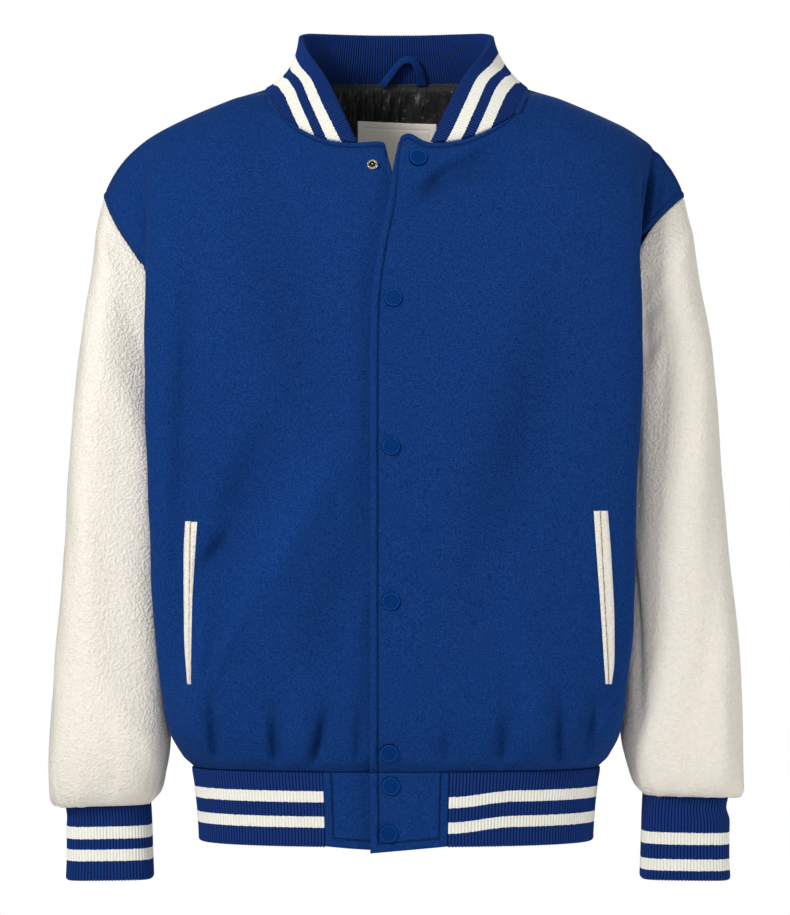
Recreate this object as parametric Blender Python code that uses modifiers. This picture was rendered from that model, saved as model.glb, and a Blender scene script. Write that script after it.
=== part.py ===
"""Varsity jacket, size XL, filled out as worn, in metres.

The front faces -Y and +X is the wearer's left. The origin is inside the neck, on
the level where the wearer's shoulders carry the jacket. Each sewn piece is a wall
of cloth of its real thickness, made from one form: horizontal sections from the
hem to the underarm, then curves that roll up over the chest and the shoulder
blades to the neckline and the shoulder seams.
"""

import math
from collections import namedtuple

import bmesh
import bpy
from mathutils import Vector

# Cloth
WOOL = 0.0025
LEATHER = 0.002
RIB = 0.004
SATIN = 0.001
SEAM_GAP = 0.0003
TOP_GAP = 0.0009

# Lengths and levels
UNDERARM_Z = -0.285
HEM_Z = -0.6525
WAISTBAND_BOTTOM_Z = -0.7230
CUFF_LENGTH = 0.071

# Neckline: an oval in plan, a rounded U from the front
NECK_HALF_WIDTH = 0.127
NECK_FRONT = 0.083
NECK_BACK = 0.080
NECK_MID_Y = 0.005
NECK_SIDE_Z = 0.007
NECK_FRONT_DROP = 0.059
NECK_BACK_RISE = 0.005
NECK_SQUARENESS = 3.0
NECK_PLAN_SQUARENESS = 0.72
NECK_CORNER = 0.008
NECK_SIDE_SOFTNESS = 0.16

# How far the cloth has rolled back from the vertical, in degrees, where it meets each seam
NECK_FRONT_ROLL = 55
NECK_BACK_ROLL = 42
SHOULDER_ROLL = 95

# Shoulder seam, from the side of the neck to the shoulder point
SHOULDER_X = 0.2830
SHOULDER_SLOPE = 0.41
SHOULDER_ROUNDING = 0.043
SHOULDER_ROUNDING_POWER = 8

# Armhole: a leaning loop through the shoulder point and the underarm point
ARMHOLE_TOP = Vector((SHOULDER_X, 0.005, -0.0995))
ARMHOLE_BOTTOM = Vector((0.2185, 0.005, UNDERARM_Z))
ARMHOLE_HALF_DEPTH = 0.062
ARMHOLE_BACK_SCOOP = 0.010
ARMHOLE_FRONT_SCOOP = {-1: 0.0105, 1: 0.0240}
ARMHOLE_PACE = 0.9

# How the body's sections are shared out from the centre to the side seam
SQUARENESS = 2.3
FOLD_AT = 0.82
FOLD_TIGHTNESS = 1.5
NECK_AT = FOLD_AT * 2 / math.pi * math.asin(NECK_HALF_WIDTH / 0.2385)
SHOULDER_PACE = 1.15

# Body sections at each height: half width at the front fold, depth of the front and of
# its fold, half width at the side seam, then the same for the back.
Section = namedtuple("Section", "z fold_x front fold_y side_x back_fold_x back back_fold_y")
BODY = (
    Section(-0.6525, 0.1965, -0.122, -0.030, 0.1960, 0.1965, 0.118, 0.035),
    Section(-0.6420, 0.2050, -0.129, -0.042, 0.1990, 0.2040, 0.124, 0.042),
    Section(-0.6150, 0.2170, -0.135, -0.066, 0.2000, 0.2130, 0.129, 0.055),
    Section(-0.5650, 0.2240, -0.137, -0.080, 0.2000, 0.2180, 0.126, 0.066),
    Section(-0.5100, 0.2300, -0.137, -0.086, 0.2020, 0.2220, 0.121, 0.072),
    Section(-0.4200, 0.2340, -0.137, -0.089, 0.2070, 0.2260, 0.118, 0.078),
    Section(-0.3500, 0.2365, -0.137, -0.089, 0.2130, 0.2300, 0.120, 0.082),
    Section(UNDERARM_Z, 0.2385, -0.136, -0.088, 0.2185, 0.2330, 0.122, 0.084),
)
WAISTBAND = (
    Section(WAISTBAND_BOTTOM_Z, 0.1905, -0.119, -0.020, 0.1905, 0.1905, 0.114, 0.025),
    Section(-0.7000, 0.1915, -0.120, -0.022, 0.1915, 0.1915, 0.115, 0.027),
    Section(-0.6680, 0.1945, -0.1215, -0.027, 0.1945, 0.1945, 0.117, 0.032),
    Section(HEM_Z, 0.1965, -0.122, -0.030, 0.1960, 0.1965, 0.118, 0.035),
)

# The hem and the waistband hang a little towards the wearer's left
HEM_SHIFT = 0.0025
HEM_SHIFT_FROM_Z = -0.600
HEM_SHIFT_OVER = 0.045

# Front edges of the two fronts at each height: the left front lies on the right one
FrontEdge = namedtuple("FrontEdge", "z left right")
FRONT_EDGES = (
    FrontEdge(WAISTBAND_BOTTOM_Z, -0.0228, 0.0200),
    FrontEdge(-0.3000, -0.0228, 0.0205),
    FrontEdge(-0.2300, -0.0222, 0.0205),
    FrontEdge(-0.1960, -0.0205, 0.0190),
    FrontEdge(-0.1500, -0.0142, 0.0140),
    FrontEdge(-0.1180, -0.0078, 0.0095),
    FrontEdge(-0.0750, -0.0006, 0.0010),
    FrontEdge(-0.0420, 0.0065, -0.0065),
)
OVERLAP_CLEARANCE = 0.0017
OVERLAP_RAMP = 0.022
PLACKET_HALF_WIDTH = 0.024

# Largest folds of the cloth: where the middle is, half length, half width, how far the
# fold leans from the vertical, and how far it stands out or sinks in.
Fold = namedtuple("Fold", "panel x z half_length half_width lean rise")
FOLDS = (
    Fold("front", -0.164, -0.520, 0.070, 0.016, 24, 0.0060),
    Fold("front", -0.172, -0.443, 0.034, 0.013, 42, -0.0050),
    Fold("front", 0.034, -0.120, 0.075, 0.020, 42, -0.0055),
    Fold("front", 0.088, -0.058, 0.050, 0.014, 20, -0.0040),
    Fold("front", -0.110, -0.610, 0.036, 0.015, -6, -0.0050),
    Fold("front", -0.062, -0.605, 0.045, 0.013, 14, -0.0055),
    Fold("front", 0.104, -0.612, 0.036, 0.015, 6, -0.0050),
    Fold("front", 0.158, -0.606, 0.042, 0.015, 3, -0.0050),
    Fold("back", -0.150, -0.604, 0.044, 0.016, -4, -0.0050),
    Fold("back", -0.078, -0.612, 0.036, 0.015, 5, -0.0055),
    Fold("back", 0.012, -0.606, 0.042, 0.016, -3, -0.0050),
    Fold("back", 0.090, -0.610, 0.038, 0.015, 6, -0.0050),
    Fold("back", 0.160, -0.604, 0.044, 0.016, 3, -0.0050),
    Fold("back", -0.150, -0.230, 0.080, 0.022, -18, -0.0050),
    Fold("back", 0.152, -0.240, 0.080, 0.022, 20, -0.0050),
)

# Sleeve sections: heights and positions of the outer and inner line, middle depth, half depth
Ring = namedtuple("Ring", "outer_z inner_z outer_x inner_x mid_y half_depth")
NumberedRing = namedtuple("NumberedRing", ("number",) + Ring._fields)
SLEEVE = (
    Ring(-0.1330, -0.3000, 0.2895, 0.2195, 0.005, 0.0640),
    Ring(-0.1860, -0.3250, 0.2963, 0.2195, 0.005, 0.0665),
    Ring(-0.2500, -0.3600, 0.3060, 0.2190, 0.004, 0.0675),
    Ring(-0.3560, -0.4200, 0.3180, 0.2175, 0.000, 0.0670),
    Ring(-0.4600, -0.4900, 0.3262, 0.2165, -0.006, 0.0640),
    Ring(-0.5600, -0.5700, 0.3340, 0.2165, -0.012, 0.0620),
    Ring(-0.6250, -0.6250, 0.3380, 0.2170, -0.017, 0.0620),
    Ring(-0.6600, -0.6570, 0.3392, 0.2215, -0.019, 0.0600),
    Ring(-0.6820, -0.6780, 0.3385, 0.2275, -0.020, 0.0540),
    Ring(-0.6900, -0.6865, 0.3330, 0.2350, -0.020, 0.0460),
    Ring(-0.6900, -0.6880, 0.3235, 0.2360, -0.020, 0.0400),
)
CUFF = (
    Ring(-0.6900, -0.6880, 0.3225, 0.2370, -0.020, 0.0390),
    Ring(-0.7050, -0.7040, 0.3195, 0.2360, -0.020, 0.0370),
    Ring(-0.7350, -0.7340, 0.3190, 0.2350, -0.020, 0.0360),
    Ring(-0.6900 - CUFF_LENGTH, -0.6890 - CUFF_LENGTH, 0.3200, 0.2340, -0.020, 0.0360),
)

# The left sleeve hangs a little further out, and its cuff begins higher
LEFT_SLEEVE_OUT = 0.0030
LEFT_CUFF_OUT = 0.0055
LEFT_SLEEVE_UP = 0.0090

# Collar: the folded edge on the wearer's left, from the centre back to the front tip
CollarEdge = namedtuple("CollarEdge", "along x y z")
COLLAR_EDGE = (
    CollarEdge(0.00, 0.0000, 0.0600, 0.0635),
    CollarEdge(0.22, 0.0480, 0.0530, 0.0635),
    CollarEdge(0.40, 0.0820, 0.0300, 0.0620),
    CollarEdge(0.50, 0.0930, 0.0060, 0.0570),
    CollarEdge(0.60, 0.0875, -0.0280, 0.0420),
    CollarEdge(0.72, 0.0715, -0.0520, 0.0175),
    CollarEdge(0.84, 0.0555, -0.0660, -0.0100),
    CollarEdge(0.94, 0.0435, -0.0745, -0.0330),
    CollarEdge(1.00, 0.0365, -0.0775, -0.0455),
)
COLLAR_TIP_AT = 2 / math.pi * math.asin(COLLAR_EDGE[-1].x / NECK_HALF_WIDTH)
COLLAR_SWELL = 0.004
COLLAR_FOOT = 0.012

# Waist tabs: where each ends at its rib, and how much lower its other end hangs
LEFT_TAB_END_X = 0.0512
RIGHT_TAB_END_X = -0.0664
LEFT_TAB_DROP = 0.0065
RIGHT_TAB_DROP = 0.0035

# Pocket welts: the opening line's top and bottom on each front, as (x, z)
WELT_WIDTH = 0.0062
WELT_THICKNESS = 0.0016
WELT_CLEARANCE = 0.0016
LEFT_POCKET = ((0.1975, -0.4045), (0.2035, -0.5655))
RIGHT_POCKET = ((-0.1925, -0.4140), (-0.1950, -0.5680))

# Snaps
CAP_RADIUS = 0.0085
CAP_HEIGHT = 0.0026
STUD_RADIUS = 0.0055
STUD_HEIGHT = 0.0022
SNAP_CLEARANCE = 0.0009
CAPS = (
    ("snap_cap_1", 0.0229, -0.0673),
    ("snap_cap_2", -0.0009, -0.2021),
    ("snap_cap_3", -0.0028, -0.3426),
    ("snap_cap_4", -0.0028, -0.4892),
    ("snap_cap_5", -0.0047, -0.6326),
    ("snap_cap_6", -0.0028, -0.6680),
    ("snap_cap_7", -0.0051, -0.7103),
)
STUD_PLACE = (-0.0207, -0.0740)

# Neck lining, label and hanger loop
LINING_HALF_WIDTH_Q = 0.27
LINING_BOTTOM_V = 1.45
LINING_TOP_V = 1.98
LINING_DEPTH = 0.0045
LABEL_DEPTH = 0.0070
LABEL_THICKNESS = 0.0010
LABEL_MID_X = 0.0032
LABEL_HALF_WIDTH = 0.0391
LABEL_TOP_Z = -0.0205
LABEL_BOTTOM_Z = -0.0800
LOOP_RADIUS = 0.003
LOOP_CLEARANCE = 0.0016
LOOP_ROUTE = (
    (-0.0119, 0.0158), (-0.0050, 0.0263), (0.0020, 0.0339), (0.0079, 0.0400), (0.0139, 0.0420),
    (0.0198, 0.0400), (0.0248, 0.0339), (0.0277, 0.0252), (0.0277, 0.0158),
)

# How finely each piece is divided
NECK_PARTS = (0, 0.03, 0.08, 0.25, 0.5, 0.7, 0.84, 0.94, 1)
CHEST_COLUMNS = 6
SIDE_COLUMNS = 3
LOWER_ROWS = 9
LOWER_PACE = 1.6
UPPER_ROWS = 9
UPPER_PACE = 1.25
CUFF_COLUMNS = 22


def ease(t):
    """A step from 0 to 1 that starts and ends level."""
    t = min(1.0, max(0.0, t))
    return t * t * (3 - 2 * t)


def along_table(rows, key, column, at):
    """The named column of a table at a value of its key, on a smooth curve through the rows."""
    rows = sorted(rows, key=lambda row: getattr(row, key))
    keys = [getattr(row, key) for row in rows]
    values = [getattr(row, column) for row in rows]
    if at <= keys[0]:
        return values[0]
    if at >= keys[-1]:
        return values[-1]
    i = max(k for k in range(len(keys) - 1) if keys[k] <= at)
    slopes = [(values[k + 1] - values[k]) / (keys[k + 1] - keys[k]) for k in range(len(keys) - 1)]

    def tangent(k):
        if k in (0, len(keys) - 1):
            return 0.0 if key == "z" else slopes[min(k, len(slopes) - 1)]
        before, after = slopes[k - 1], slopes[k]
        return 2 * before * after / (before + after) if before * after > 0 else 0.0

    span = keys[i + 1] - keys[i]
    t = (at - keys[i]) / span
    return (
        (2 * t**3 - 3 * t**2 + 1) * values[i]
        + (t**3 - 2 * t**2 + t) * span * tangent(i)
        + (3 * t**2 - 2 * t**3) * values[i + 1]
        + (t**3 - t**2) * span * tangent(i + 1)
    )


def section_point(table, back, q, z):
    """A point of the section at height z: q is 0 at the centre, FOLD_AT at the fold and 1 at the side seam."""
    centre_y = along_table(table, "z", "back" if back else "front", z)
    fold_x = along_table(table, "z", "back_fold_x" if back else "fold_x", z)
    fold_y = along_table(table, "z", "back_fold_y" if back else "fold_y", z)
    if q <= FOLD_AT:
        x = fold_x * math.sin(math.pi / 2 * q / FOLD_AT)
        round_off = (1 - min(1.0, abs(x) / fold_x) ** SQUARENESS) ** (1 / SQUARENESS)
        return Vector((x, fold_y + (centre_y - fold_y) * round_off, z))
    side_x = along_table(table, "z", "side_x", z)
    t = (q - FOLD_AT) / (1 - FOLD_AT)
    turned_in = ease(t * FOLD_TIGHTNESS)
    return Vector((fold_x + (side_x - fold_x) * turned_in, fold_y + (NECK_MID_Y - fold_y) * t, z))


def shoulder_z(x):
    """Height of the shoulder seam at x."""
    out = (x - NECK_HALF_WIDTH) / (SHOULDER_X - NECK_HALF_WIDTH)
    drop = SHOULDER_ROUNDING * out**SHOULDER_ROUNDING_POWER
    return NECK_SIDE_Z - SHOULDER_SLOPE * (x - NECK_HALF_WIDTH) - drop


def top_point(back, q):
    """A point of the neckline, up to NECK_AT, or of the shoulder seam."""
    if q > NECK_AT:
        t = ((q - NECK_AT) / (1 - NECK_AT)) ** SHOULDER_PACE
        x = NECK_HALF_WIDTH + (SHOULDER_X - NECK_HALF_WIDTH) * t
        return Vector((x, NECK_MID_Y, shoulder_z(x)))
    angle = math.pi / 2 * q / NECK_AT
    x = NECK_HALF_WIDTH * math.sin(angle)
    if back:
        return Vector((x, NECK_MID_Y + NECK_BACK * math.cos(angle), NECK_SIDE_Z + NECK_BACK_RISE * math.cos(angle)))
    depth = max(0.0, 1 - (abs(x) / NECK_HALF_WIDTH) ** NECK_SQUARENESS) ** (1 / NECK_SQUARENESS)
    return Vector((x, NECK_MID_Y - NECK_FRONT * depth**NECK_PLAN_SQUARENESS, NECK_SIDE_Z - NECK_FRONT_DROP * depth))


def softened_top(back, q, w):
    """The top line as the cloth follows it at w: the corner beside the neck softens with the distance below it."""
    spread = NECK_SIDE_SOFTNESS * (1 - w)
    total = Vector((0, 0, 0))
    for offset, weight in ((-2, 1), (-1, 4), (0, 6), (1, 4), (2, 1)):
        total += top_point(back, min(1.0, q + offset * spread)) * weight
    return total / 16


def armhole_point(side, turn):
    """A point of the armhole, with x out from the centre: turn is 0 at the shoulder, pi at the underarm, and under
    0 on the front."""
    middle = (ARMHOLE_TOP + ARMHOLE_BOTTOM) / 2
    half = (ARMHOLE_TOP - ARMHOLE_BOTTOM) / 2
    scoop = ARMHOLE_BACK_SCOOP if turn > 0 else ARMHOLE_FRONT_SCOOP[side]
    scoop *= math.sin(turn) ** 2 * (1 + math.cos(turn))
    bend = Vector((-scoop, ARMHOLE_HALF_DEPTH * math.sin(turn), 0))
    return middle + half * math.cos(turn) + bend


def rolled_point(back, q, w):
    """A point above the underarm: w is 0 at the underarm level and 1 at the neckline or shoulder seam."""
    low = section_point(BODY, back, q, UNDERARM_Z)
    high = softened_top(back, q, w)
    neck_roll = NECK_BACK_ROLL if back else NECK_FRONT_ROLL
    roll = math.radians(neck_roll + (SHOULDER_ROLL - neck_roll) * ease(abs(q) / (NECK_AT * 1.6)))
    rise = math.sin(w * roll) / math.sin(roll)
    lean = (1 - math.cos(w * roll)) / (1 - math.cos(roll))
    return Vector((
        low.x + (high.x - low.x) * lean,
        low.y + (high.y - low.y) * lean,
        low.z + (high.z - low.z) * rise,
    ))


def armhole_turn(back, w):
    """Where on the armhole the row at w ends."""
    turn = math.pi * (1 - w**ARMHOLE_PACE)
    return turn if back else -turn


def fold_rise(panel, point):
    """How far the largest folds move the cloth out at a point of a panel."""
    total = 0.0
    for fold in FOLDS:
        if fold.panel != panel:
            continue
        lean = math.radians(fold.lean)
        dx, dz = point.x - fold.x, point.z - fold.z
        lengthwise = dx * math.sin(lean) + dz * math.cos(lean)
        across = dx * math.cos(lean) - dz * math.sin(lean)
        total += fold.rise * math.exp(-((lengthwise / fold.half_length) ** 2) - (across / fold.half_width) ** 2)
    return total


def body_point(back, side, q, v):
    """A point of the body: side is 1 on the wearer's left and -1 on the right; v is 0 at the hem, 1 at the
    underarm level and 2 at the top."""
    if v <= 1:
        point = section_point(BODY, back, q, HEM_Z + (UNDERARM_Z - HEM_Z) * v)
    else:
        point = rolled_point(back, q, v - 1)
        if q > FOLD_AT:
            blend = ease((q - FOLD_AT) / (1 - FOLD_AT))
            edge = armhole_point(side, armhole_turn(back, v - 1))
            point += (edge - rolled_point(back, 1.0, v - 1)) * blend
    point.x = point.x * side + hem_shift(q, point.z)
    if back:
        point.y += fold_rise("back", point) * freedom(q, v)
    return point


def hem_shift(q, z):
    """How far towards the left the cloth hangs at height z: nothing at the front edges."""
    return HEM_SHIFT * abs(q) * ease((HEM_SHIFT_FROM_Z - z) / HEM_SHIFT_OVER)


def freedom(q, v):
    """How freely the cloth folds: 1 in the middle of a panel and 0 at its seams."""
    return ease(v * 8) * ease((2 - v) * 4) * ease((1 - abs(q)) * 5)


def front_point(side, q, v):
    """A point of a front. The right front passes below the left one."""
    point = front_face(side, q, v)
    if side < 0:
        point += normal_at(lambda a, b: front_face(side, a, b), q, v) * under_overlap(point)
    return point


def front_face(side, q, v):
    """A point of the form of a front: the body's form, drawn across to the front edge."""
    point = body_point(False, side, q, v)
    edge_x = along_table(FRONT_EDGES, "z", "left" if side > 0 else "right", point.z)
    near_edge = 1 - ease(q / NECK_AT)
    point.x += edge_x * near_edge
    from_edge = abs(point.x - edge_x)
    if v > 1 and from_edge < NECK_CORNER:
        round_off = NECK_CORNER - math.sqrt(NECK_CORNER**2 - (NECK_CORNER - from_edge) ** 2)
        point.z -= round_off * ease((v - 1.6) / 0.4)
    placket = ease((abs(point.x) - PLACKET_HALF_WIDTH) / PLACKET_HALF_WIDTH)
    point.y -= fold_rise("front", point) * freedom(q, v) * placket
    return point


def under_overlap(point):
    """How far a point of the right front lies below the left front: nothing away from the overlap."""
    left_edge = along_table(FRONT_EDGES, "z", "left", point.z)
    return (WOOL + OVERLAP_CLEARANCE) * ease((point.x - left_edge + OVERLAP_RAMP) / OVERLAP_RAMP)


def ring_point(rings, side, turn, z_at):
    """A point of a sleeve or cuff: z_at counts the rings, turn is 0 outside and under 0 on the front."""
    rows = [NumberedRing(i, *ring) for i, ring in enumerate(rings)]
    ring = {column: along_table(rows, "number", column, z_at) for column in Ring._fields}
    outer = Vector((ring["outer_x"], ring["mid_y"], ring["outer_z"]))
    inner = Vector((ring["inner_x"], ring["mid_y"], ring["inner_z"]))
    point = (outer + inner) / 2 + (outer - inner) / 2 * math.cos(turn)
    point.y += ring["half_depth"] * math.sin(turn)
    point.x *= side
    return point


def sleeve_point(side, turn, at):
    """A point of a sleeve: at is 0 at the armhole and 1 at the first ring."""
    start = armhole_point(side, turn)
    start.x *= side
    if at <= 0:
        return start
    point = ring_point(SLEEVE, side, turn, max(0.0, at - 1))
    if side > 0:
        point.x += LEFT_SLEEVE_OUT * ease(at / 3)
        point.x += (LEFT_CUFF_OUT - LEFT_SLEEVE_OUT) * ease((at - 6) / 4)
        point.z += LEFT_SLEEVE_UP * ease((at - 5) / 4)
    return start.lerp(point, at) if at < 1 else point


def cuff_point(side, turn, at):
    """A point of a cuff: at counts its rings down from the sleeve."""
    point = ring_point(CUFF, side, turn, at)
    if side > 0:
        point.x += LEFT_CUFF_OUT
        point.z += LEFT_SLEEVE_UP * ease(1 - at / 2)
    return point


def waistband_point(side, back, q, v):
    """A point of the waistband: v is 0 at its lower edge and 1 at the hem seam."""
    top_z = HEM_Z - SEAM_GAP
    point = section_point(WAISTBAND, back, q, WAISTBAND_BOTTOM_Z + (top_z - WAISTBAND_BOTTOM_Z) * v)
    point.x = point.x * side + hem_shift(q, point.z)
    return point


def neckline_point(side, along):
    """A point of the neckline: along is 0 at the centre back, 0.5 at the shoulder seam and 1 at the collar's tip."""
    if along <= 0.5:
        point = top_point(True, NECK_AT * along * 2)
    else:
        point = top_point(False, NECK_AT * (1 + (COLLAR_TIP_AT - 1) * (along - 0.5) * 2))
    point.x *= side
    return point


def collar_point(side, along, t):
    """A point of the collar's outer face: t is 0 at the neckline and 1 at the folded edge."""
    seam = neckline_point(side, along)
    edge = Vector([along_table(COLLAR_EDGE, "along", axis, along) for axis in ("x", "y", "z")])
    edge.x *= side
    outward = Vector((seam.x, seam.y - NECK_MID_Y, 0)).normalized()
    return seam.lerp(edge, max(t, COLLAR_FOOT)) + outward * COLLAR_SWELL * math.sin(math.pi * t)


def steps(first, last, count):
    """Even steps from first to last, both included."""
    return [first + (last - first) * i / count for i in range(count + 1)]


def pull_in(grid, across):
    """Moves the open edges of a grid in, so that pieces stay apart. The last row moves further: the walls that meet
    there turn over a ridge and crowd each other inside."""
    columns, rows = len(grid), len(grid[0])
    moved = {}
    for i in range(columns):
        for j in range(rows):
            shift = Vector((0, 0, 0))
            if across and i in (0, columns - 1):
                shift += (grid[i + (1 if i == 0 else -1)][j] - grid[i][j]).normalized() * SEAM_GAP
            if j == 0:
                shift += (grid[i][1] - grid[i][0]).normalized() * SEAM_GAP
            if j == rows - 1:
                shift += (grid[i][rows - 2] - grid[i][j]).normalized() * TOP_GAP
            moved[i, j] = grid[i][j] + shift
    return moved


def cloth(name, grid, thickness, material, flip=False, tube=False):
    """An object whose sheet passes through a grid of points and is thickened inward."""
    columns, rows = len(grid), len(grid[0])
    places = pull_in(grid, not tube)
    mesh = bmesh.new()
    bmesh.ops.create_grid(mesh, x_segments=columns - 1, y_segments=rows - 1, size=0.5)
    for vertex in mesh.verts:
        i = round((vertex.co.x + 0.5) * (columns - 1))
        j = round((vertex.co.y + 0.5) * (rows - 1))
        vertex.co = places[i, j]
    if tube:
        bmesh.ops.remove_doubles(mesh, verts=mesh.verts[:], dist=0.00001)
    if flip:
        bmesh.ops.reverse_faces(mesh, faces=mesh.faces[:])
    piece = finish_mesh(name, mesh, material)
    wall = piece.modifiers.new("Wall", "SOLIDIFY")
    wall.thickness = thickness
    wall.offset = -1
    return piece


def finish_mesh(name, mesh, material):
    """An object in the jacket's collection from a bmesh."""
    data = bpy.data.meshes.new(name)
    mesh.to_mesh(data)
    mesh.free()
    data.shade_smooth()
    piece = bpy.data.objects.new(name, data)
    piece.data.materials.append(material)
    JACKET.objects.link(piece)
    return piece


def finish(name, colour, roughness, metallic=0.0):
    """A Principled material."""
    material = bpy.data.materials.new(name)
    material.use_nodes = True
    shader = material.node_tree.nodes["Principled BSDF"]
    shader.inputs["Base Color"].default_value = (*colour, 1)
    shader.inputs["Roughness"].default_value = roughness
    shader.inputs["Metallic"].default_value = metallic
    return material


def normal_at(surface, a, b):
    """The outward unit normal of surface(a, b), from small steps either way."""
    step = 0.002
    along_a = surface(a + step, b) - surface(a - step, b)
    along_b = surface(a, b + step) - surface(a, b - step)
    return along_a.cross(along_b).normalized()


def place_on(surface, x, z, a, b):
    """The parameters, point and normal where a surface passes through x and z, found by Newton steps."""
    step = 0.001
    for _ in range(12):
        point = surface(a, b)
        da = (surface(a + step, b) - point) / step
        db = (surface(a, b + step) - point) / step
        error_x, error_z = x - point.x, z - point.z
        determinant = da.x * db.z - db.x * da.z
        a += (error_x * db.z - db.x * error_z) / determinant
        b += (da.x * error_z - error_x * da.z) / determinant
    return a, b, surface(a, b), normal_at(surface, a, b)


for old in list(bpy.data.objects):
    bpy.data.objects.remove(old)
JACKET = bpy.data.collections.new("varsity_jacket")
bpy.context.scene.collection.children.link(JACKET)

wool_finish = finish("royal_wool", (0.010, 0.052, 0.260), 0.85)
rib_finish = finish("royal_rib", (0.010, 0.035, 0.160), 0.85)
leather_finish = finish("ivory_leather", (0.80, 0.76, 0.68), 0.5)
satin_finish = finish("black_satin", (0.012, 0.012, 0.012), 0.35)
label_finish = finish("taupe_label", (0.36, 0.33, 0.29), 0.8)
cap_finish = finish("blue_enamel", (0.004, 0.045, 0.19), 0.3)
metal_finish = finish("antique_nickel", (0.45, 0.40, 0.30), 0.3, 1.0)

# Columns and rows of the body panels. The front and back share them, so their seams meet.
neck_columns = [NECK_AT * part for part in NECK_PARTS]
chest_columns = steps(NECK_AT, FOLD_AT, CHEST_COLUMNS)[1:]
side_columns = steps(FOLD_AT, 1, SIDE_COLUMNS)[1:]
columns = neck_columns + chest_columns + side_columns
lower_rows = [step**LOWER_PACE for step in steps(0, 1, LOWER_ROWS)]
upper_rows = [2 - (1 - step) ** UPPER_PACE for step in steps(0, 1, UPPER_ROWS)[1:]]
rows = lower_rows + upper_rows


def make_fronts():
    for side, name in ((1, "front_left"), (-1, "front_right")):
        grid = [[front_point(side, q, v) for v in rows] for q in columns]
        cloth(name, grid, WOOL, wool_finish, flip=side < 0)


def make_back():
    right_half = [[body_point(True, -1, q, v) for v in rows] for q in reversed(columns)]
    left_half = [[body_point(True, 1, q, v) for v in rows] for q in columns[1:]]
    cloth("back", right_half + left_half, WOOL, wool_finish, flip=True)


def make_sleeves():
    back_turns = [armhole_turn(True, v - 1) for v in [1] + upper_rows]
    turns = back_turns + [-turn for turn in reversed(back_turns[:-1])]
    for side, name in ((1, "sleeve_left"), (-1, "sleeve_right")):
        grid = [[sleeve_point(side, turn, at) for at in range(len(SLEEVE) + 1)] for turn in turns]
        cloth(name, grid, LEATHER, leather_finish, flip=side < 0, tube=True)


def make_cuffs():
    turns = steps(0, 2 * math.pi, CUFF_COLUMNS)
    for side, name in ((1, "cuff_left"), (-1, "cuff_right")):
        grid = [[cuff_point(side, turn, at) for at in range(len(CUFF))] for turn in turns]
        cloth(name, grid, RIB, rib_finish, flip=side > 0, tube=True)


def waist_q(x):
    """The section parameter where the front of the waistband passes x."""
    return FOLD_AT * 2 / math.pi * math.asin(x / WAISTBAND[1].fold_x)


def make_waistband():
    heights = (0, 0.4, 0.8, 1)
    right = steps(waist_q(-RIGHT_TAB_END_X), 1, 8)
    left = steps(waist_q(LEFT_TAB_END_X), 1, 8)
    behind = steps(0, 1, 10)
    grid = [[waistband_point(-1, False, q, v) for v in heights] for q in right]
    grid += [[waistband_point(-1, True, q, v) for v in heights] for q in reversed(behind[:-1])]
    grid += [[waistband_point(1, True, q, v) for v in heights] for q in behind[1:]]
    grid += [[waistband_point(1, False, q, v) for v in heights] for q in reversed(left[:-1])]
    cloth("waistband_rib", grid, RIB, rib_finish, flip=True)


def tab_point(x, v, under):
    """A point of a waist tab at x: under is True for the right tab, which lies below the left one."""
    point = waistband_point(1, False, waist_q(x), v)
    end, drop = (RIGHT_TAB_END_X, RIGHT_TAB_DROP) if under else (LEFT_TAB_END_X, LEFT_TAB_DROP)
    from_end = (end - x) / (end - FRONT_EDGES[0].left)
    point.z -= drop * (1 - v) * min(from_end, 2 - from_end)
    if under:
        point.y += under_overlap(point)
    return point


def make_waist_tabs():
    heights = (0, 0.4, 0.8, 1)
    left_start = along_table(FRONT_EDGES, "z", "left", HEM_Z)
    right_end = along_table(FRONT_EDGES, "z", "right", HEM_Z)
    left = [[tab_point(x, v, False) for v in heights] for x in steps(left_start, LEFT_TAB_END_X, 6)]
    right = [[tab_point(x, v, True) for v in heights] for x in steps(RIGHT_TAB_END_X, right_end, 8)]
    cloth("waist_tab_left", left, WOOL, wool_finish)
    cloth("waist_tab_right", right, WOOL, wool_finish)


def make_collar():
    behind = [part / 2 for part in NECK_PARTS]
    ahead = [0.5 + 0.5 * (1 - part) / (1 - COLLAR_TIP_AT) for part in NECK_PARTS if part > COLLAR_TIP_AT]
    parts = [1] + ahead + behind[-2::-1]
    across = (0, 0.35, 0.7, 1)
    grid = [[collar_point(-1, along, t) for t in across] for along in parts]
    grid += [[collar_point(1, along, t) for t in across] for along in reversed(parts[:-1])]
    cloth("collar_rib", grid, RIB, rib_finish, flip=True)


def make_welts():
    """Two strips a side, one each way from the pocket's opening line, lying on the front."""
    for side, name, pocket in ((1, "welt_left", LEFT_POCKET), (-1, "welt_right", RIGHT_POCKET)):
        (top_x, top_z), (bottom_x, bottom_z) = pocket

        def on_front(q, v):
            return front_point(side, q, v)

        opening, edges = [], []
        for step in steps(0, 1, 8):
            x = bottom_x + (top_x - bottom_x) * step
            z = bottom_z + (top_z - bottom_z) * step
            q, v, point, normal = place_on(on_front, x, z, 0.5, 0.4)
            away = (on_front(q + 0.01, v) - on_front(q - 0.01, v)).normalized()
            opening.append(point + normal * side * (WELT_CLEARANCE + WELT_THICKNESS))
            edges.append(away * WELT_WIDTH)
        side_edge = [point + edge for point, edge in zip(opening, edges)]
        front_edge = [point - edge for point, edge in zip(opening, edges)]
        cloth(name + "_side", [opening, side_edge], WELT_THICKNESS, leather_finish, flip=side < 0)
        cloth(name + "_front", [front_edge, opening], WELT_THICKNESS, leather_finish, flip=side < 0)


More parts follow.
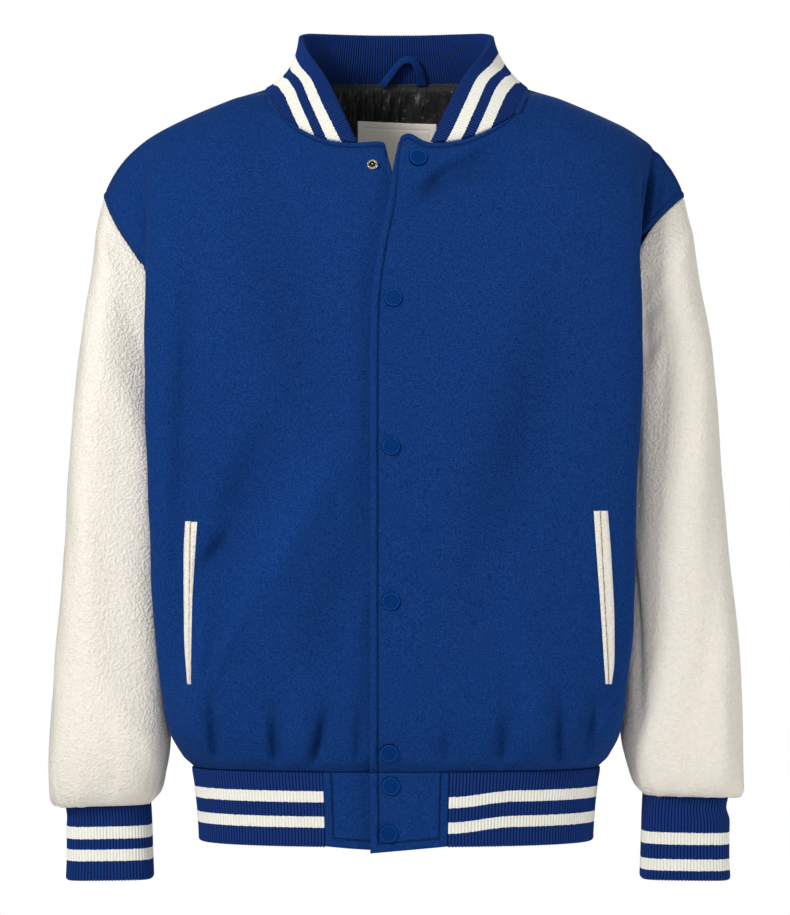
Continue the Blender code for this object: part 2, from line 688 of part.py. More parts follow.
def inside_back(q, v, depth):
    """A point inside the back, at a depth below its outer face."""

    def on_back(a, b):
        return body_point(True, 1, a, b)

    return on_back(q, v) + normal_at(on_back, q, v) * depth


def make_neck_lining():
    half = [q for q in neck_columns if q <= LINING_HALF_WIDTH_Q]
    across = [-q for q in reversed(half[1:])] + half
    down = [v for v in rows if LINING_BOTTOM_V < v < LINING_TOP_V] + [LINING_TOP_V]
    grid = [[inside_back(q, v, LINING_DEPTH) for v in down] for q in across]
    cloth("neck_lining", grid, SATIN, satin_finish)


def make_neck_label():
    def inside(q, v):
        return inside_back(q, v, LABEL_DEPTH)

    grid = []
    for x in steps(LABEL_MID_X - LABEL_HALF_WIDTH, LABEL_MID_X + LABEL_HALF_WIDTH, 4):
        grid.append([place_on(inside, x, z, 0.1, 1.7)[2] for z in steps(LABEL_BOTTOM_Z, LABEL_TOP_Z, 4)])
    cloth("neck_label", grid, LABEL_THICKNESS, label_finish)


def make_hanger_loop():
    """A tube that lies against the inside of the collar, with both feet in the neck seam."""
    data = bpy.data.curves.new("hanger_loop", "CURVE")
    data.dimensions = "3D"
    data.bevel_depth = LOOP_RADIUS
    data.bevel_resolution = 2
    data.use_fill_caps = True
    route = data.splines.new("POLY")
    route.points.add(len(LOOP_ROUTE) - 1)
    for knot, (x, z) in zip(route.points, LOOP_ROUTE):
        side = 1 if x > 0 else -1

        def on_collar(along, t):
            return collar_point(side, along, t)

        point, normal = place_on(on_collar, x, z, 0.1, 0.4)[2:]
        knot.co = (*(point + normal * side * (RIB + LOOP_CLEARANCE + LOOP_RADIUS)), 1)
    data.materials.append(wool_finish)
    JACKET.objects.link(bpy.data.objects.new("hanger_loop", data))


def turned(name, profile, place, outward, material):
    """A turned piece from (radius, height) pairs, top to bottom, standing on a surface along its normal."""
    mesh = bmesh.new()
    knots = [mesh.verts.new((radius, 0, height)) for radius, height in profile]
    for upper, lower in zip(knots, knots[1:]):
        mesh.edges.new((upper, lower))
    piece = finish_mesh(name, mesh, material)
    piece.location = place + outward * SNAP_CLEARANCE
    piece.rotation_euler = outward.to_track_quat("Z", "Y").to_euler()
    turn = piece.modifiers.new("Turn", "SCREW")
    turn.steps = turn.render_steps = 24
    turn.use_merge_vertices = True
    turn.merge_threshold = 0.00001


def make_snaps():
    cap = ((0, CAP_HEIGHT), (0.75 * CAP_RADIUS, 0.95 * CAP_HEIGHT), (0.95 * CAP_RADIUS, 0.7 * CAP_HEIGHT),
           (CAP_RADIUS, 0.35 * CAP_HEIGHT), (0.95 * CAP_RADIUS, 0), (0, 0))
    stud = ((0, 0.45 * STUD_HEIGHT), (0.5 * STUD_RADIUS, 0.45 * STUD_HEIGHT), (0.62 * STUD_RADIUS, STUD_HEIGHT),
            (0.85 * STUD_RADIUS, 0.9 * STUD_HEIGHT), (STUD_RADIUS, 0.4 * STUD_HEIGHT), (STUD_RADIUS, 0), (0, 0))

    def on_left(q, v):
        return front_point(1, q, v)

    def on_right(q, v):
        return front_point(-1, q, v)

    def on_tab(x, v):
        return tab_point(x, v, False)

    for name, x, z in CAPS:
        if z > HEM_Z:
            place, outward = place_on(on_left, x, z, 0.1, 1.0)[2:]
        else:
            place, outward = place_on(on_tab, x, z, x, 0.5)[2:]
        turned(name, cap, place, outward, cap_finish)
    place, inward = place_on(on_right, *STUD_PLACE, 0.05, 1.7)[2:]
    turned("snap_stud", stud, place, -inward, metal_finish)


make_fronts()
make_back()
make_sleeves()
make_cuffs()
make_waistband()
make_waist_tabs()
make_collar()
make_welts()
make_neck_lining()
make_neck_label()
make_hanger_loop()
make_snaps()
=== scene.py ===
"""Varsity jacket, filled out as worn, in metres: the front faces -Y and +X is the wearer's left."""

import math
from collections import namedtuple
from functools import partial

import bmesh
import bpy
import numpy as np
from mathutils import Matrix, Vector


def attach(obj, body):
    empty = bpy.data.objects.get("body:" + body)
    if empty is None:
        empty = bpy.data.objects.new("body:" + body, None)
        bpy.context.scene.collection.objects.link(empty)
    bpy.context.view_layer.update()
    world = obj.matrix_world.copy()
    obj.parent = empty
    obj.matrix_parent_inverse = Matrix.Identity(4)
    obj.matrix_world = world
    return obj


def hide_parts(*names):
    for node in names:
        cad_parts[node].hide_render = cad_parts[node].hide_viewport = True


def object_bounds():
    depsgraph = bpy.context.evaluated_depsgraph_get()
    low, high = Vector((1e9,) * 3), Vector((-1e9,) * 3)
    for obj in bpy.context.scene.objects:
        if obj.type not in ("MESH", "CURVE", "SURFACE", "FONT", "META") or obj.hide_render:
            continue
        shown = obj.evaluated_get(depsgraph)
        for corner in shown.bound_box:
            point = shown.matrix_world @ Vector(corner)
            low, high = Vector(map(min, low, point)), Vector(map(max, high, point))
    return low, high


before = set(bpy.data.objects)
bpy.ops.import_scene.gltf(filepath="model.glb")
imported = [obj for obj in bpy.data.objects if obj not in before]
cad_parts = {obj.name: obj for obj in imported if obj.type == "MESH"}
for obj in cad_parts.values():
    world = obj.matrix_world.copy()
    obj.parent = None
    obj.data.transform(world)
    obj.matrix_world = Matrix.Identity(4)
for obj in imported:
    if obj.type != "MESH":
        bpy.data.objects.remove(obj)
cad_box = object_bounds()

# The studio: a pale floor well below the jacket and a white room. The main soft light stands in front on
# the wearer's right, and wider ones shine from the left, from straight ahead and from behind.
FRAME_HEIGHT = 0.89213
CAMERA_DISTANCE = 4.5
CAMERA_PLACE = (0.000975, -CAMERA_DISTANCE, -0.3534)
FLOOR_Z = -1.30
FLOOR_SIZE = 8.0
ROOM_LIGHT = 0.17

scene = bpy.context.scene
scene.view_settings.view_transform = "Standard"
camera_data = bpy.data.cameras.new("camera")
camera_data.lens = camera_data.sensor_width * CAMERA_DISTANCE / FRAME_HEIGHT
camera = bpy.data.objects.new("camera", camera_data)
camera.location = CAMERA_PLACE
camera.rotation_euler = (math.radians(90), 0, 0)
scene.collection.objects.link(camera)
scene.camera = camera


def node_of(owner, kind, **settings):
    """A new node of a material or of the world, with its sockets or properties set by name."""
    node = owner.node_tree.nodes.new(kind)
    for name, value in settings.items():
        if name in node.inputs:
            node.inputs[name].default_value = value
        else:
            setattr(node, name, value)
    return node


def join(owner, value, into):
    """Links a socket to an input, or gives the input a plain value."""
    if isinstance(value, bpy.types.NodeSocket):
        owner.node_tree.links.new(value, into)
    else:
        into.default_value = value


def finish_of(name, colour, roughness, **sockets):
    """A Principled material and its shader. The other sockets are given by name, with _ for a space."""
    material = bpy.data.materials.new(name)
    material.use_nodes = True
    shader = material.node_tree.nodes["Principled BSDF"]
    shader.inputs["Base Color"].default_value = (*colour, 1)
    shader.inputs["Roughness"].default_value = roughness
    for socket, value in sockets.items():
        shader.inputs[socket.replace("_", " ")].default_value = value
    return material, shader


def camera_sees(owner, lit, seen, output):
    """Shows the camera one shader, while the other one is what lights the jacket."""
    which = node_of(owner, "ShaderNodeMixShader")
    join(owner, node_of(owner, "ShaderNodeLightPath").outputs["Is Camera Ray"], which.inputs["Fac"])
    join(owner, lit.outputs[0], which.inputs[1])
    join(owner, seen.outputs[0], which.inputs[2])
    join(owner, which.outputs["Shader"], output.inputs["Surface"])


def soft_light(name, place, size, power):
    """A square area light that faces the middle of the jacket."""
    data = bpy.data.lights.new(name, "AREA")
    data.size = size
    data.energy = power
    light = bpy.data.objects.new(name, data)
    light.location = place
    middle = (cad_box[0] + cad_box[1]) / 2
    light.rotation_euler = (light.location - middle).to_track_quat("Z", "Y").to_euler()
    scene.collection.objects.link(light)


soft_light("key", (-1.55, -1.85, 0.95), 0.7, 56)
soft_light("side", (3.2, -1.0, 0.1), 1.6, 40)
soft_light("front", (0.0, -4.0, 0.7), 1.4, 31)
soft_light("back", (0.6, 3.4, 1.8), 2.4, 80)

world = bpy.data.worlds.new("white_room")
world.use_nodes = True
scene.world = world
room = world.node_tree.nodes["Background"]
room.inputs["Color"].default_value = (1, 1, 1, 1)
room.inputs["Strength"].default_value = ROOM_LIGHT
white = node_of(world, "ShaderNodeBackground", Color=(1, 1, 1, 1), Strength=1.0)
camera_sees(world, room, white, world.node_tree.nodes["World Output"])

floor_mesh = bmesh.new()
bmesh.ops.create_grid(floor_mesh, x_segments=1, y_segments=1, size=FLOOR_SIZE / 2)
bmesh.ops.translate(floor_mesh, verts=floor_mesh.verts[:], vec=(0, 0, FLOOR_Z))
floor_data = bpy.data.meshes.new("floor")
floor_mesh.to_mesh(floor_data)
floor_mesh.free()
floor = bpy.data.objects.new("floor", floor_data)
scene.collection.objects.link(floor)
floor_finish, floor_shader = finish_of("pale_floor", (0.86, 0.86, 0.86), 0.9)
floor_data.materials.append(floor_finish)
glow = node_of(floor_finish, "ShaderNodeEmission", Strength=1.0)
camera_sees(floor_finish, floor_shader, glow, floor_finish.node_tree.nodes["Material Output"])

# The wool body: a left front, a right front and one back, cut from royal blue melton, a thick felted
# wool with a short brushed nap, and lined with black satin. The fronts lap at the middle, where they
# fasten with snaps, and every edge is turned in and topstitched.
WOOL = 0.0025
SEAM_GAP = 0.00015
UNDERARM_Z = -0.285
HEM_Z = -0.6525
NECK_HALF_WIDTH = 0.127
NECK_FRONT = 0.083
NECK_BACK = 0.080
NECK_MID_Y = 0.005
NECK_SIDE_Z = 0.007
NECK_FRONT_DROP = 0.059
NECK_BACK_RISE = 0.005
NECK_SQUARENESS = 3.0
NECK_PLAN_SQUARENESS = 0.72
NECK_CORNER = 0.008
NECK_SIDE_SOFTNESS = 0.16
CORNER_RISE = {-1: (0.0022, 0.020), 1: (0.0098, 0.0135)}
CORNER_RISE_X = 0.0134
NECK_FRONT_ROLL = 55
NECK_BACK_ROLL = 42
SHOULDER_ROLL = 95
SHOULDER_X = 0.2830
SHOULDER_SLOPE = 0.41
SHOULDER_ROUNDING = 0.043
SHOULDER_ROUNDING_POWER = 8
SHOULDER_PACE = 1.15
ARMHOLE_TOP = np.array((SHOULDER_X, 0.005, -0.0995))
ARMHOLE_BOTTOM = np.array((0.2185, 0.005, UNDERARM_Z))
ARMHOLE_HALF_DEPTH = 0.062
ARMHOLE_BACK_SCOOP = 0.010
ARMHOLE_FRONT_SCOOP = {-1: 0.0006, 1: 0.0240}
ARMHOLE_FRONT_HOLLOW = {-1: 0.0230, 1: 0.0}
ARMHOLE_PACE = 0.9
SQUARENESS = 2.3
FOLD_AT = 0.82
FOLD_TIGHTNESS = 1.5
UNDERARM_FOLD_X = 0.2385
NECK_AT = FOLD_AT * 2 / math.pi * math.asin(NECK_HALF_WIDTH / UNDERARM_FOLD_X)
HEM_SHIFT = 0.0025
HEM_SHIFT_FROM_Z = -0.600
HEM_SHIFT_OVER = 0.045

# Body sections at each height: half width at the front fold, depth of the front and of
# its fold, half width at the side seam, then the same for the back.
Section = namedtuple("Section", "z fold_x front fold_y side_x back_fold_x back back_fold_y")
BODY = (
    Section(HEM_Z, 0.1965, -0.122, -0.030, 0.1960, 0.1965, 0.118, 0.035),
    Section(-0.6420, 0.2050, -0.129, -0.042, 0.1990, 0.2040, 0.124, 0.042),
    Section(-0.6150, 0.2170, -0.135, -0.066, 0.2000, 0.2130, 0.129, 0.055),
    Section(-0.5650, 0.2240, -0.137, -0.080, 0.2000, 0.2180, 0.126, 0.066),
    Section(-0.5100, 0.2300, -0.137, -0.086, 0.2020, 0.2220, 0.121, 0.072),
    Section(-0.4200, 0.2340, -0.137, -0.089, 0.2070, 0.2260, 0.118, 0.078),
    Section(-0.3500, 0.2365, -0.137, -0.089, 0.2130, 0.2300, 0.120, 0.082),
    Section(UNDERARM_Z, UNDERARM_FOLD_X, -0.136, -0.088, 0.2185, 0.2330, 0.122, 0.084),
)

# Front edges of the two fronts at each height: the left front lies on the right one
FrontEdge = namedtuple("FrontEdge", "z left right")
FRONT_EDGES = (
    FrontEdge(-0.7230, -0.0228, 0.0200),
    FrontEdge(-0.3000, -0.0228, 0.0205),
    FrontEdge(-0.2300, -0.0222, 0.0205),
    FrontEdge(-0.1960, -0.0205, 0.0190),
    FrontEdge(-0.1500, -0.0142, 0.0140),
    FrontEdge(-0.1180, -0.0078, 0.0095),
    FrontEdge(-0.0750, -0.0006, 0.0010),
    FrontEdge(-0.0420, 0.0065, -0.0065),
)
OVERLAP_CLEARANCE = 0.0017
OVERLAP_RAMP = 0.022
PLACKET_HALF_WIDTH = 0.020
# How much light is painted on the ridges of the wool's folds and shade in their hollows, and how much shade
# is painted into the armhole crease
PAINTED_FOLD_SHADING = 26.0
CREASE_SHADE = 150.0

# Folds of each panel: x and z of the middle, half length, half width, lean from the vertical in degrees,
# and how far the fold stands out or, under 0, sinks in
FOLDS = {
    "front": (
        (-0.158, -0.531, 0.050, 0.0065, 23, 0.0058),
        (-0.168, -0.443, 0.024, 0.0085, 39, -0.0085),
        (-0.100, -0.430, 0.085, 0.0230, 27, 0.0150),
        (-0.140, -0.380, 0.070, 0.0180, 24, -0.0090),
        (-0.188, -0.550, 0.060, 0.0120, 6, 0.0090),
        (-0.060, -0.500, 0.080, 0.0200, 20, -0.0080),
        (0.045, -0.087, 0.050, 0.0100, 52, -0.0130),
        (0.084, -0.066, 0.024, 0.0100, 40, -0.0120),
        (0.075, -0.240, 0.120, 0.0300, 22, 0.0030),
        (0.120, -0.340, 0.130, 0.0280, 16, -0.0120),
        (0.120, -0.520, 0.080, 0.0240, -14, 0.0040),
        (-0.200, -0.330, 0.170, 0.0130, 2, -0.0085),
        (-0.100, -0.210, 0.110, 0.0300, -12, -0.0090),
        (-0.170, -0.622, 0.030, 0.0060, -4, -0.0090),
        (-0.112, -0.624, 0.028, 0.0060, -4, -0.0100),
        (-0.071, -0.622, 0.030, 0.0050, 14, -0.0110),
        (-0.0330, -0.618, 0.032, 0.0045, 2, -0.0060),
        (-0.090, -0.600, 0.045, 0.0120, 4, 0.0060),
        (0.104, -0.624, 0.026, 0.0080, 4, -0.0090),
        (0.156, -0.620, 0.034, 0.0065, 3, -0.0095),
        (0.186, -0.612, 0.026, 0.0070, 10, -0.0090),
        (0.132, -0.600, 0.040, 0.0140, -3, 0.0060),
        (0.050, -0.628, 0.022, 0.0070, -6, -0.0060),
    ),
    "left_armhole": (
        (0.2458, -0.109, 0.040, 0.0031, 8, -0.0105),
        (0.2395, -0.112, 0.040, 0.0045, 6, 0.0018),
        (0.2580, -0.098, 0.024, 0.0032, 14, -0.0028),
    ),
    "back": (
        (-0.150, -0.608, 0.040, 0.0090, -4, -0.0100),
        (-0.082, -0.616, 0.034, 0.0080, 5, -0.0095),
        (0.012, -0.610, 0.040, 0.0090, -3, -0.0100),
        (0.094, -0.614, 0.034, 0.0080, 6, -0.0095),
        (0.160, -0.608, 0.040, 0.0090, 3, -0.0100),
        (-0.150, -0.230, 0.090, 0.0200, -20, -0.0100),
        (0.152, -0.240, 0.090, 0.0200, 22, -0.0100),
        (-0.060, -0.420, 0.110, 0.0260, 12, -0.0090),
        (0.080, -0.470, 0.100, 0.0260, -14, 0.0085),
    ),
}


def ease(t):
    """A step from 0 to 1 that starts and ends level."""
    t = np.clip(t, 0.0, 1.0)
    return t * t * (3 - 2 * t)


def bell(value, middle, width):
    """A smooth rise and fall: 1 at the middle and nearly 0 two widths away."""
    return np.exp(-(((value - middle) / width) ** 2))


def unit(vectors):
    """Vectors made 1 long."""
    return vectors / np.maximum(np.linalg.norm(vectors, axis=-1, keepdims=True), 1e-12)


def curve(rows, key, column, at):
    """The named column of a table at values of its key, on a smooth curve through the rows."""
    rows = sorted(rows, key=lambda row: getattr(row, key))
    keys = np.array([getattr(row, key) for row in rows], float)
    values = np.array([getattr(row, column) for row in rows], float)
    slopes = np.diff(values) / np.diff(keys)
    before, after = slopes[:-1], slopes[1:]
    same_way = before * after > 0
    inner = np.where(same_way, 2 * before * after / np.where(same_way, before + after, 1), 0)
    ends = (0, 0) if key == "z" else (slopes[0], slopes[-1])
    tangents = np.concatenate([[ends[0]], inner, [ends[1]]])
    at = np.clip(at, keys[0], keys[-1])
    i = np.clip(np.searchsorted(keys, at, side="right") - 1, 0, len(keys) - 2)
    span = keys[i + 1] - keys[i]
    t = (at - keys[i]) / span
    return (
        (2 * t**3 - 3 * t**2 + 1) * values[i]
        + (t**3 - 2 * t**2 + t) * span * tangents[i]
        + (3 * t**2 - 2 * t**3) * values[i + 1]
        + (t**3 - t**2) * span * tangents[i + 1]
    )


def section(table, back, q, z):
    """Points of the sections at heights z: q is 0 at the middle, FOLD_AT at the fold, 1 at the side seam."""
    q, z = np.broadcast_arrays(np.asarray(q, float), np.asarray(z, float))
    centre_y = curve(table, "z", "back" if back else "front", z)
    fold_x = curve(table, "z", "back_fold_x" if back else "fold_x", z)
    fold_y = curve(table, "z", "back_fold_y" if back else "fold_y", z)
    side_x = curve(table, "z", "side_x", z)
    x = fold_x * np.sin(math.pi / 2 * np.clip(q / FOLD_AT, -1, 1))
    rounding = (1 - np.clip(np.abs(x) / fold_x, 0, 1) ** SQUARENESS) ** (1 / SQUARENESS)
    t = (q - FOLD_AT) / (1 - FOLD_AT)
    middle = q <= FOLD_AT
    x = np.where(middle, x, fold_x + (side_x - fold_x) * ease(t * FOLD_TIGHTNESS))
    y = np.where(middle, fold_y + (centre_y - fold_y) * rounding, fold_y + (NECK_MID_Y - fold_y) * t)
    return np.stack([x, y, z], -1)


def top_line(back, q):
    """Points of the neckline, up to NECK_AT, and of the shoulder seam."""
    angle = math.pi / 2 * np.clip(q / NECK_AT, -1, 1)
    x = NECK_HALF_WIDTH * np.sin(angle)
    if back:
        depth = np.cos(angle)
        neck = np.stack([x, NECK_MID_Y + NECK_BACK * depth, NECK_SIDE_Z + NECK_BACK_RISE * depth], -1)
    else:
        inside = 1 - np.clip(np.abs(x) / NECK_HALF_WIDTH, 0, 1) ** NECK_SQUARENESS
        depth = np.clip(inside, 0, 1) ** (1 / NECK_SQUARENESS)
        y = NECK_MID_Y - NECK_FRONT * depth**NECK_PLAN_SQUARENESS
        neck = np.stack([x, y, NECK_SIDE_Z - NECK_FRONT_DROP * depth], -1)
    t = np.clip((q - NECK_AT) / (1 - NECK_AT), 0, 1) ** SHOULDER_PACE
    x = NECK_HALF_WIDTH + (SHOULDER_X - NECK_HALF_WIDTH) * t
    z = NECK_SIDE_Z - SHOULDER_SLOPE * (x - NECK_HALF_WIDTH)
    z -= SHOULDER_ROUNDING * t**SHOULDER_ROUNDING_POWER
    shoulder = np.stack([x, np.full_like(x, NECK_MID_Y), z], -1)
    return np.where((q > NECK_AT)[..., None], shoulder, neck)


def softened_top(back, q, w):
    """The top line as the cloth follows it at w: its corner beside the neck is softer further down."""
    spread = NECK_SIDE_SOFTNESS * (1 - w)
    total = 0
    for offset, weight in ((-2, 1), (-1, 4), (0, 6), (1, 4), (2, 1)):
        total = total + top_line(back, np.minimum(1.0, q + offset * spread)) * weight / 16
    return total


def armhole(side, turn):
    """Points of the armhole, with x out from the centre: turn is 0 at the shoulder, pi at the underarm,
    and under 0 on the front."""
    turn = np.asarray(turn, float)
    middle = (ARMHOLE_TOP + ARMHOLE_BOTTOM) / 2
    half = (ARMHOLE_TOP - ARMHOLE_BOTTOM) / 2
    scoop = np.where(turn > 0, ARMHOLE_BACK_SCOOP, ARMHOLE_FRONT_SCOOP[side])
    hollow = np.where(turn > 0, 0, ARMHOLE_FRONT_HOLLOW[side])
    scoop = np.sin(turn) ** 2 * (scoop * (1 + np.cos(turn)) + hollow * (1 - np.cos(turn)))
    bend = np.stack([-scoop, ARMHOLE_HALF_DEPTH * np.sin(turn), 0 * turn], -1)
    return middle + half * np.cos(turn)[..., None] + bend


def rolled(back, q, w):
    """Points above the underarm: w is 0 at the underarm level and 1 at the neckline or shoulder seam."""
    low = section(BODY, back, q, np.full_like(q, UNDERARM_Z))
    high = softened_top(back, q, w)
    neck_roll = NECK_BACK_ROLL if back else NECK_FRONT_ROLL
    roll = np.radians(neck_roll + (SHOULDER_ROLL - neck_roll) * ease(np.abs(q) / (NECK_AT * 1.6)))
    rise = np.sin(w * roll) / np.sin(roll)
    lean = (1 - np.cos(w * roll)) / (1 - np.cos(roll))
    share = np.stack([lean, lean, rise], -1)
    return low + (high - low) * share


def armhole_turn(back, w):
    """Where on the armhole the row at w ends."""
    turn = math.pi * (1 - np.clip(w, 0, 1) ** ARMHOLE_PACE)
    return turn if back else -turn


def fold_rise(folds, x, z):
    """How far the folds of a panel move the cloth out."""
    total = np.zeros_like(x)
    for middle_x, middle_z, half_length, half_width, lean, rise in folds:
        lean = math.radians(lean)
        dx, dz = x - middle_x, z - middle_z
        lengthwise = dx * math.sin(lean) + dz * math.cos(lean)
        across = dx * math.cos(lean) - dz * math.sin(lean)
        total += rise * np.exp(-((lengthwise / half_length) ** 2) - (across / half_width) ** 2)
    return total


def freedom(q, v):
    """How freely the cloth folds: 1 in the middle of a panel and 0 at its seams."""
    return ease(v * 20) * ease((2 - v) * 4) * ease((1 - np.abs(q)) * 5)


def hem_shift(q, z):
    """How far towards the left the cloth hangs at height z: nothing at the front edges."""
    return HEM_SHIFT * np.abs(q) * ease((HEM_SHIFT_FROM_Z - z) / HEM_SHIFT_OVER)


def body(back, side, q, v):
    """Points of the body: side 1 is the wearer's left, v is 0 at the hem, 1 at the underarm, 2 at the top."""
    q, v = np.broadcast_arrays(np.asarray(q, float), np.asarray(v, float))
    w = np.clip(v - 1, 0, 1)
    upper = rolled(back, q, w)
    blend = ease((q - FOLD_AT) / (1 - FOLD_AT))[..., None]
    upper = upper + (armhole(side, armhole_turn(back, w)) - rolled(back, np.ones_like(q), w)) * blend
    lower = section(BODY, back, q, HEM_Z + (UNDERARM_Z - HEM_Z) * np.clip(v, 0, 1))
    points = np.where((v <= 1)[..., None], lower, upper)
    points[..., 0] = points[..., 0] * side + hem_shift(q, points[..., 2])
    if back:
        points[..., 1] += fold_rise(FOLDS["back"], points[..., 0], points[..., 2]) * freedom(q, v)
    return points


def front_face(side, q, v):
    """Points of the form of a front: the body's form, drawn across to the front edge."""
    q, v = np.broadcast_arrays(np.asarray(q, float), np.asarray(v, float))
    points = body(False, side, q, v)
    edge_x = curve(FRONT_EDGES, "z", "left" if side > 0 else "right", points[..., 2])
    points[..., 0] += edge_x * (1 - ease(q / NECK_AT))
    from_edge = np.clip(np.abs(points[..., 0] - edge_x), 0, NECK_CORNER)
    corner = NECK_CORNER - np.sqrt(NECK_CORNER**2 - (NECK_CORNER - from_edge) ** 2)
    points[..., 2] -= corner * ease((v - 1.6) / 0.4)
    rise, reach = CORNER_RISE[side]
    beyond = np.maximum(np.abs(points[..., 0]) - CORNER_RISE_X, 0)
    points[..., 2] += rise * bell(beyond, 0, reach) * ease((v - 1.78) / 0.22)
    placket = ease((np.abs(points[..., 0]) - PLACKET_HALF_WIDTH) / PLACKET_HALF_WIDTH)
    points[..., 1] -= fold_rise(FOLDS["front"], points[..., 0], points[..., 2]) * freedom(q, v) * placket
    return points


def normals_of(points):
    """Unit normals of a grid of points: the cross product of its two directions."""
    return unit(np.cross(np.gradient(points, axis=0), np.gradient(points, axis=1)))


def under_overlap(points):
    """How far the right front lies below the left front: nothing away from the overlap."""
    left_edge = curve(FRONT_EDGES, "z", "left", points[..., 2])
    return (WOOL + OVERLAP_CLEARANCE) * ease((points[..., 0] - left_edge + OVERLAP_RAMP) / OVERLAP_RAMP)


def run_along(points, axis, from_end=False):
    """Distance along a grid's lines from their first or last points."""
    steps = np.linalg.norm(np.diff(points, axis=axis), axis=-1)
    start = np.zeros_like(np.take(steps, [0], axis=axis))
    total = np.cumsum(np.concatenate([start, steps], axis=axis), axis=axis)
    return np.take(total, [-1], axis=axis) - total if from_end else total


def insets_of(points):
    """Distances in from a grid's first and last columns, then from its first and last rows."""
    sides = [run_along(points, 0), run_along(points, 0, from_end=True)]
    return [*sides, run_along(points, 1), run_along(points, 1, from_end=True)]


# The relief of a turned edge, of a row of stitches and of a seam
EDGE_ROUNDING, EDGE_ROUNDING_WIDTH = 0.0009, 0.0008
EDGE_FULLNESS, EDGE_FULLNESS_POWER = 0.0008, 0.7
STITCH_DEPTH, STITCH_WIDTH = 0.0012, 0.0009
STITCH_LINE_WIDTH = 0.0011
SEAM_DEPTH, SEAM_WIDTH = 0.0010, 0.0016


def edge_shape(distance, stitch_at):
    """The profile of a turned, topstitched edge: rounded over, a little full, drawn in at the stitches."""
    rounded = EDGE_ROUNDING * bell(distance, 0, EDGE_ROUNDING_WIDTH)
    full = EDGE_FULLNESS * np.sin(math.pi * np.clip(distance / stitch_at, 0, 1)) ** EDGE_FULLNESS_POWER
    return full - rounded - STITCH_DEPTH * bell(distance, stitch_at, STITCH_WIDTH)


def stitch_line(distance, stitch_at):
    """1 on a line of stitches and 0 away from it."""
    return bell(distance, stitch_at, STITCH_LINE_WIDTH)


def seam_shape(distance):
    """The valley where a panel is sewn to the next one."""
    return -SEAM_DEPTH * bell(distance, 0, SEAM_WIDTH)


# How fast each direction of the waves changes with the seed and from wave to wave
DRIFT_WAVES = 5
DRIFT_RATES = ((12.9, 78.2), (39.3, 11.1), (7.7, 27.3))


def drift(x, y, z, size, seed):
    """Slow uneven waves of the cloth, about 1 either way, each some size long."""
    total = 0
    for k in range(DRIFT_WAVES):
        a, b, c = (math.sin(seed * by_seed + k * by_wave) for by_seed, by_wave in DRIFT_RATES)
        total = total + np.sin((a * x + b * y + c * z) * 2 * math.pi / size * (0.7 + 0.2 * k) + seed + k)
    return total / 3


# How far the jacket's right and left sides hang away from their even shape
RIGHT_NECK_IN = 0.0058
NECK_CORNERS_UP = 0.0080
RIGHT_SLEEVE_IN = 0.0055
LEFT_SIDE_IN = 0.0030
LEFT_CUFF_IN = 0.0050
RIGHT_SHOULDER_DOWN = 0.0026


def as_it_hangs(points):
    """Points of the jacket moved as it really hangs, a little unevenly."""
    x, y, z = np.moveaxis(points, -1, 0)
    moved = points.copy()
    right_neck = ease((-x - 0.045) / 0.075) * ease((0.215 + x) / 0.080) * ease((z + 0.120) / 0.100)
    neck_corners = bell(np.abs(x), 0.108, 0.034) * ease(-y / 0.03) * ease((z + 0.085) / 0.04)
    above_right_cuff = 1 - 0.45 * ease((-z - 0.685) / 0.03)
    right_sleeve = ease((-x - 0.245) / 0.085) * ease((-z - 0.13) / 0.30) * above_right_cuff
    left_side = ease((x - 0.17) / 0.05) * bell(z, -0.400, 0.090)
    above_left_cuff = 1 - 0.9 * ease((-z - 0.690) / 0.015)
    left_wrist = ease((x - 0.26) / 0.07) * ease((-z - 0.54) / 0.14) * above_left_cuff
    right_shoulder = bell(x, -0.232, 0.045) * ease((z + 0.160) / 0.060)
    moved[..., 0] += RIGHT_NECK_IN * right_neck + RIGHT_SLEEVE_IN * right_sleeve
    moved[..., 0] -= LEFT_SIDE_IN * left_side + LEFT_CUFF_IN * left_wrist
    moved[..., 2] += NECK_CORNERS_UP * neck_corners * ease((0.030 - z) / 0.03)
    moved[..., 2] -= RIGHT_SHOULDER_DOWN * right_shoulder
    return moved


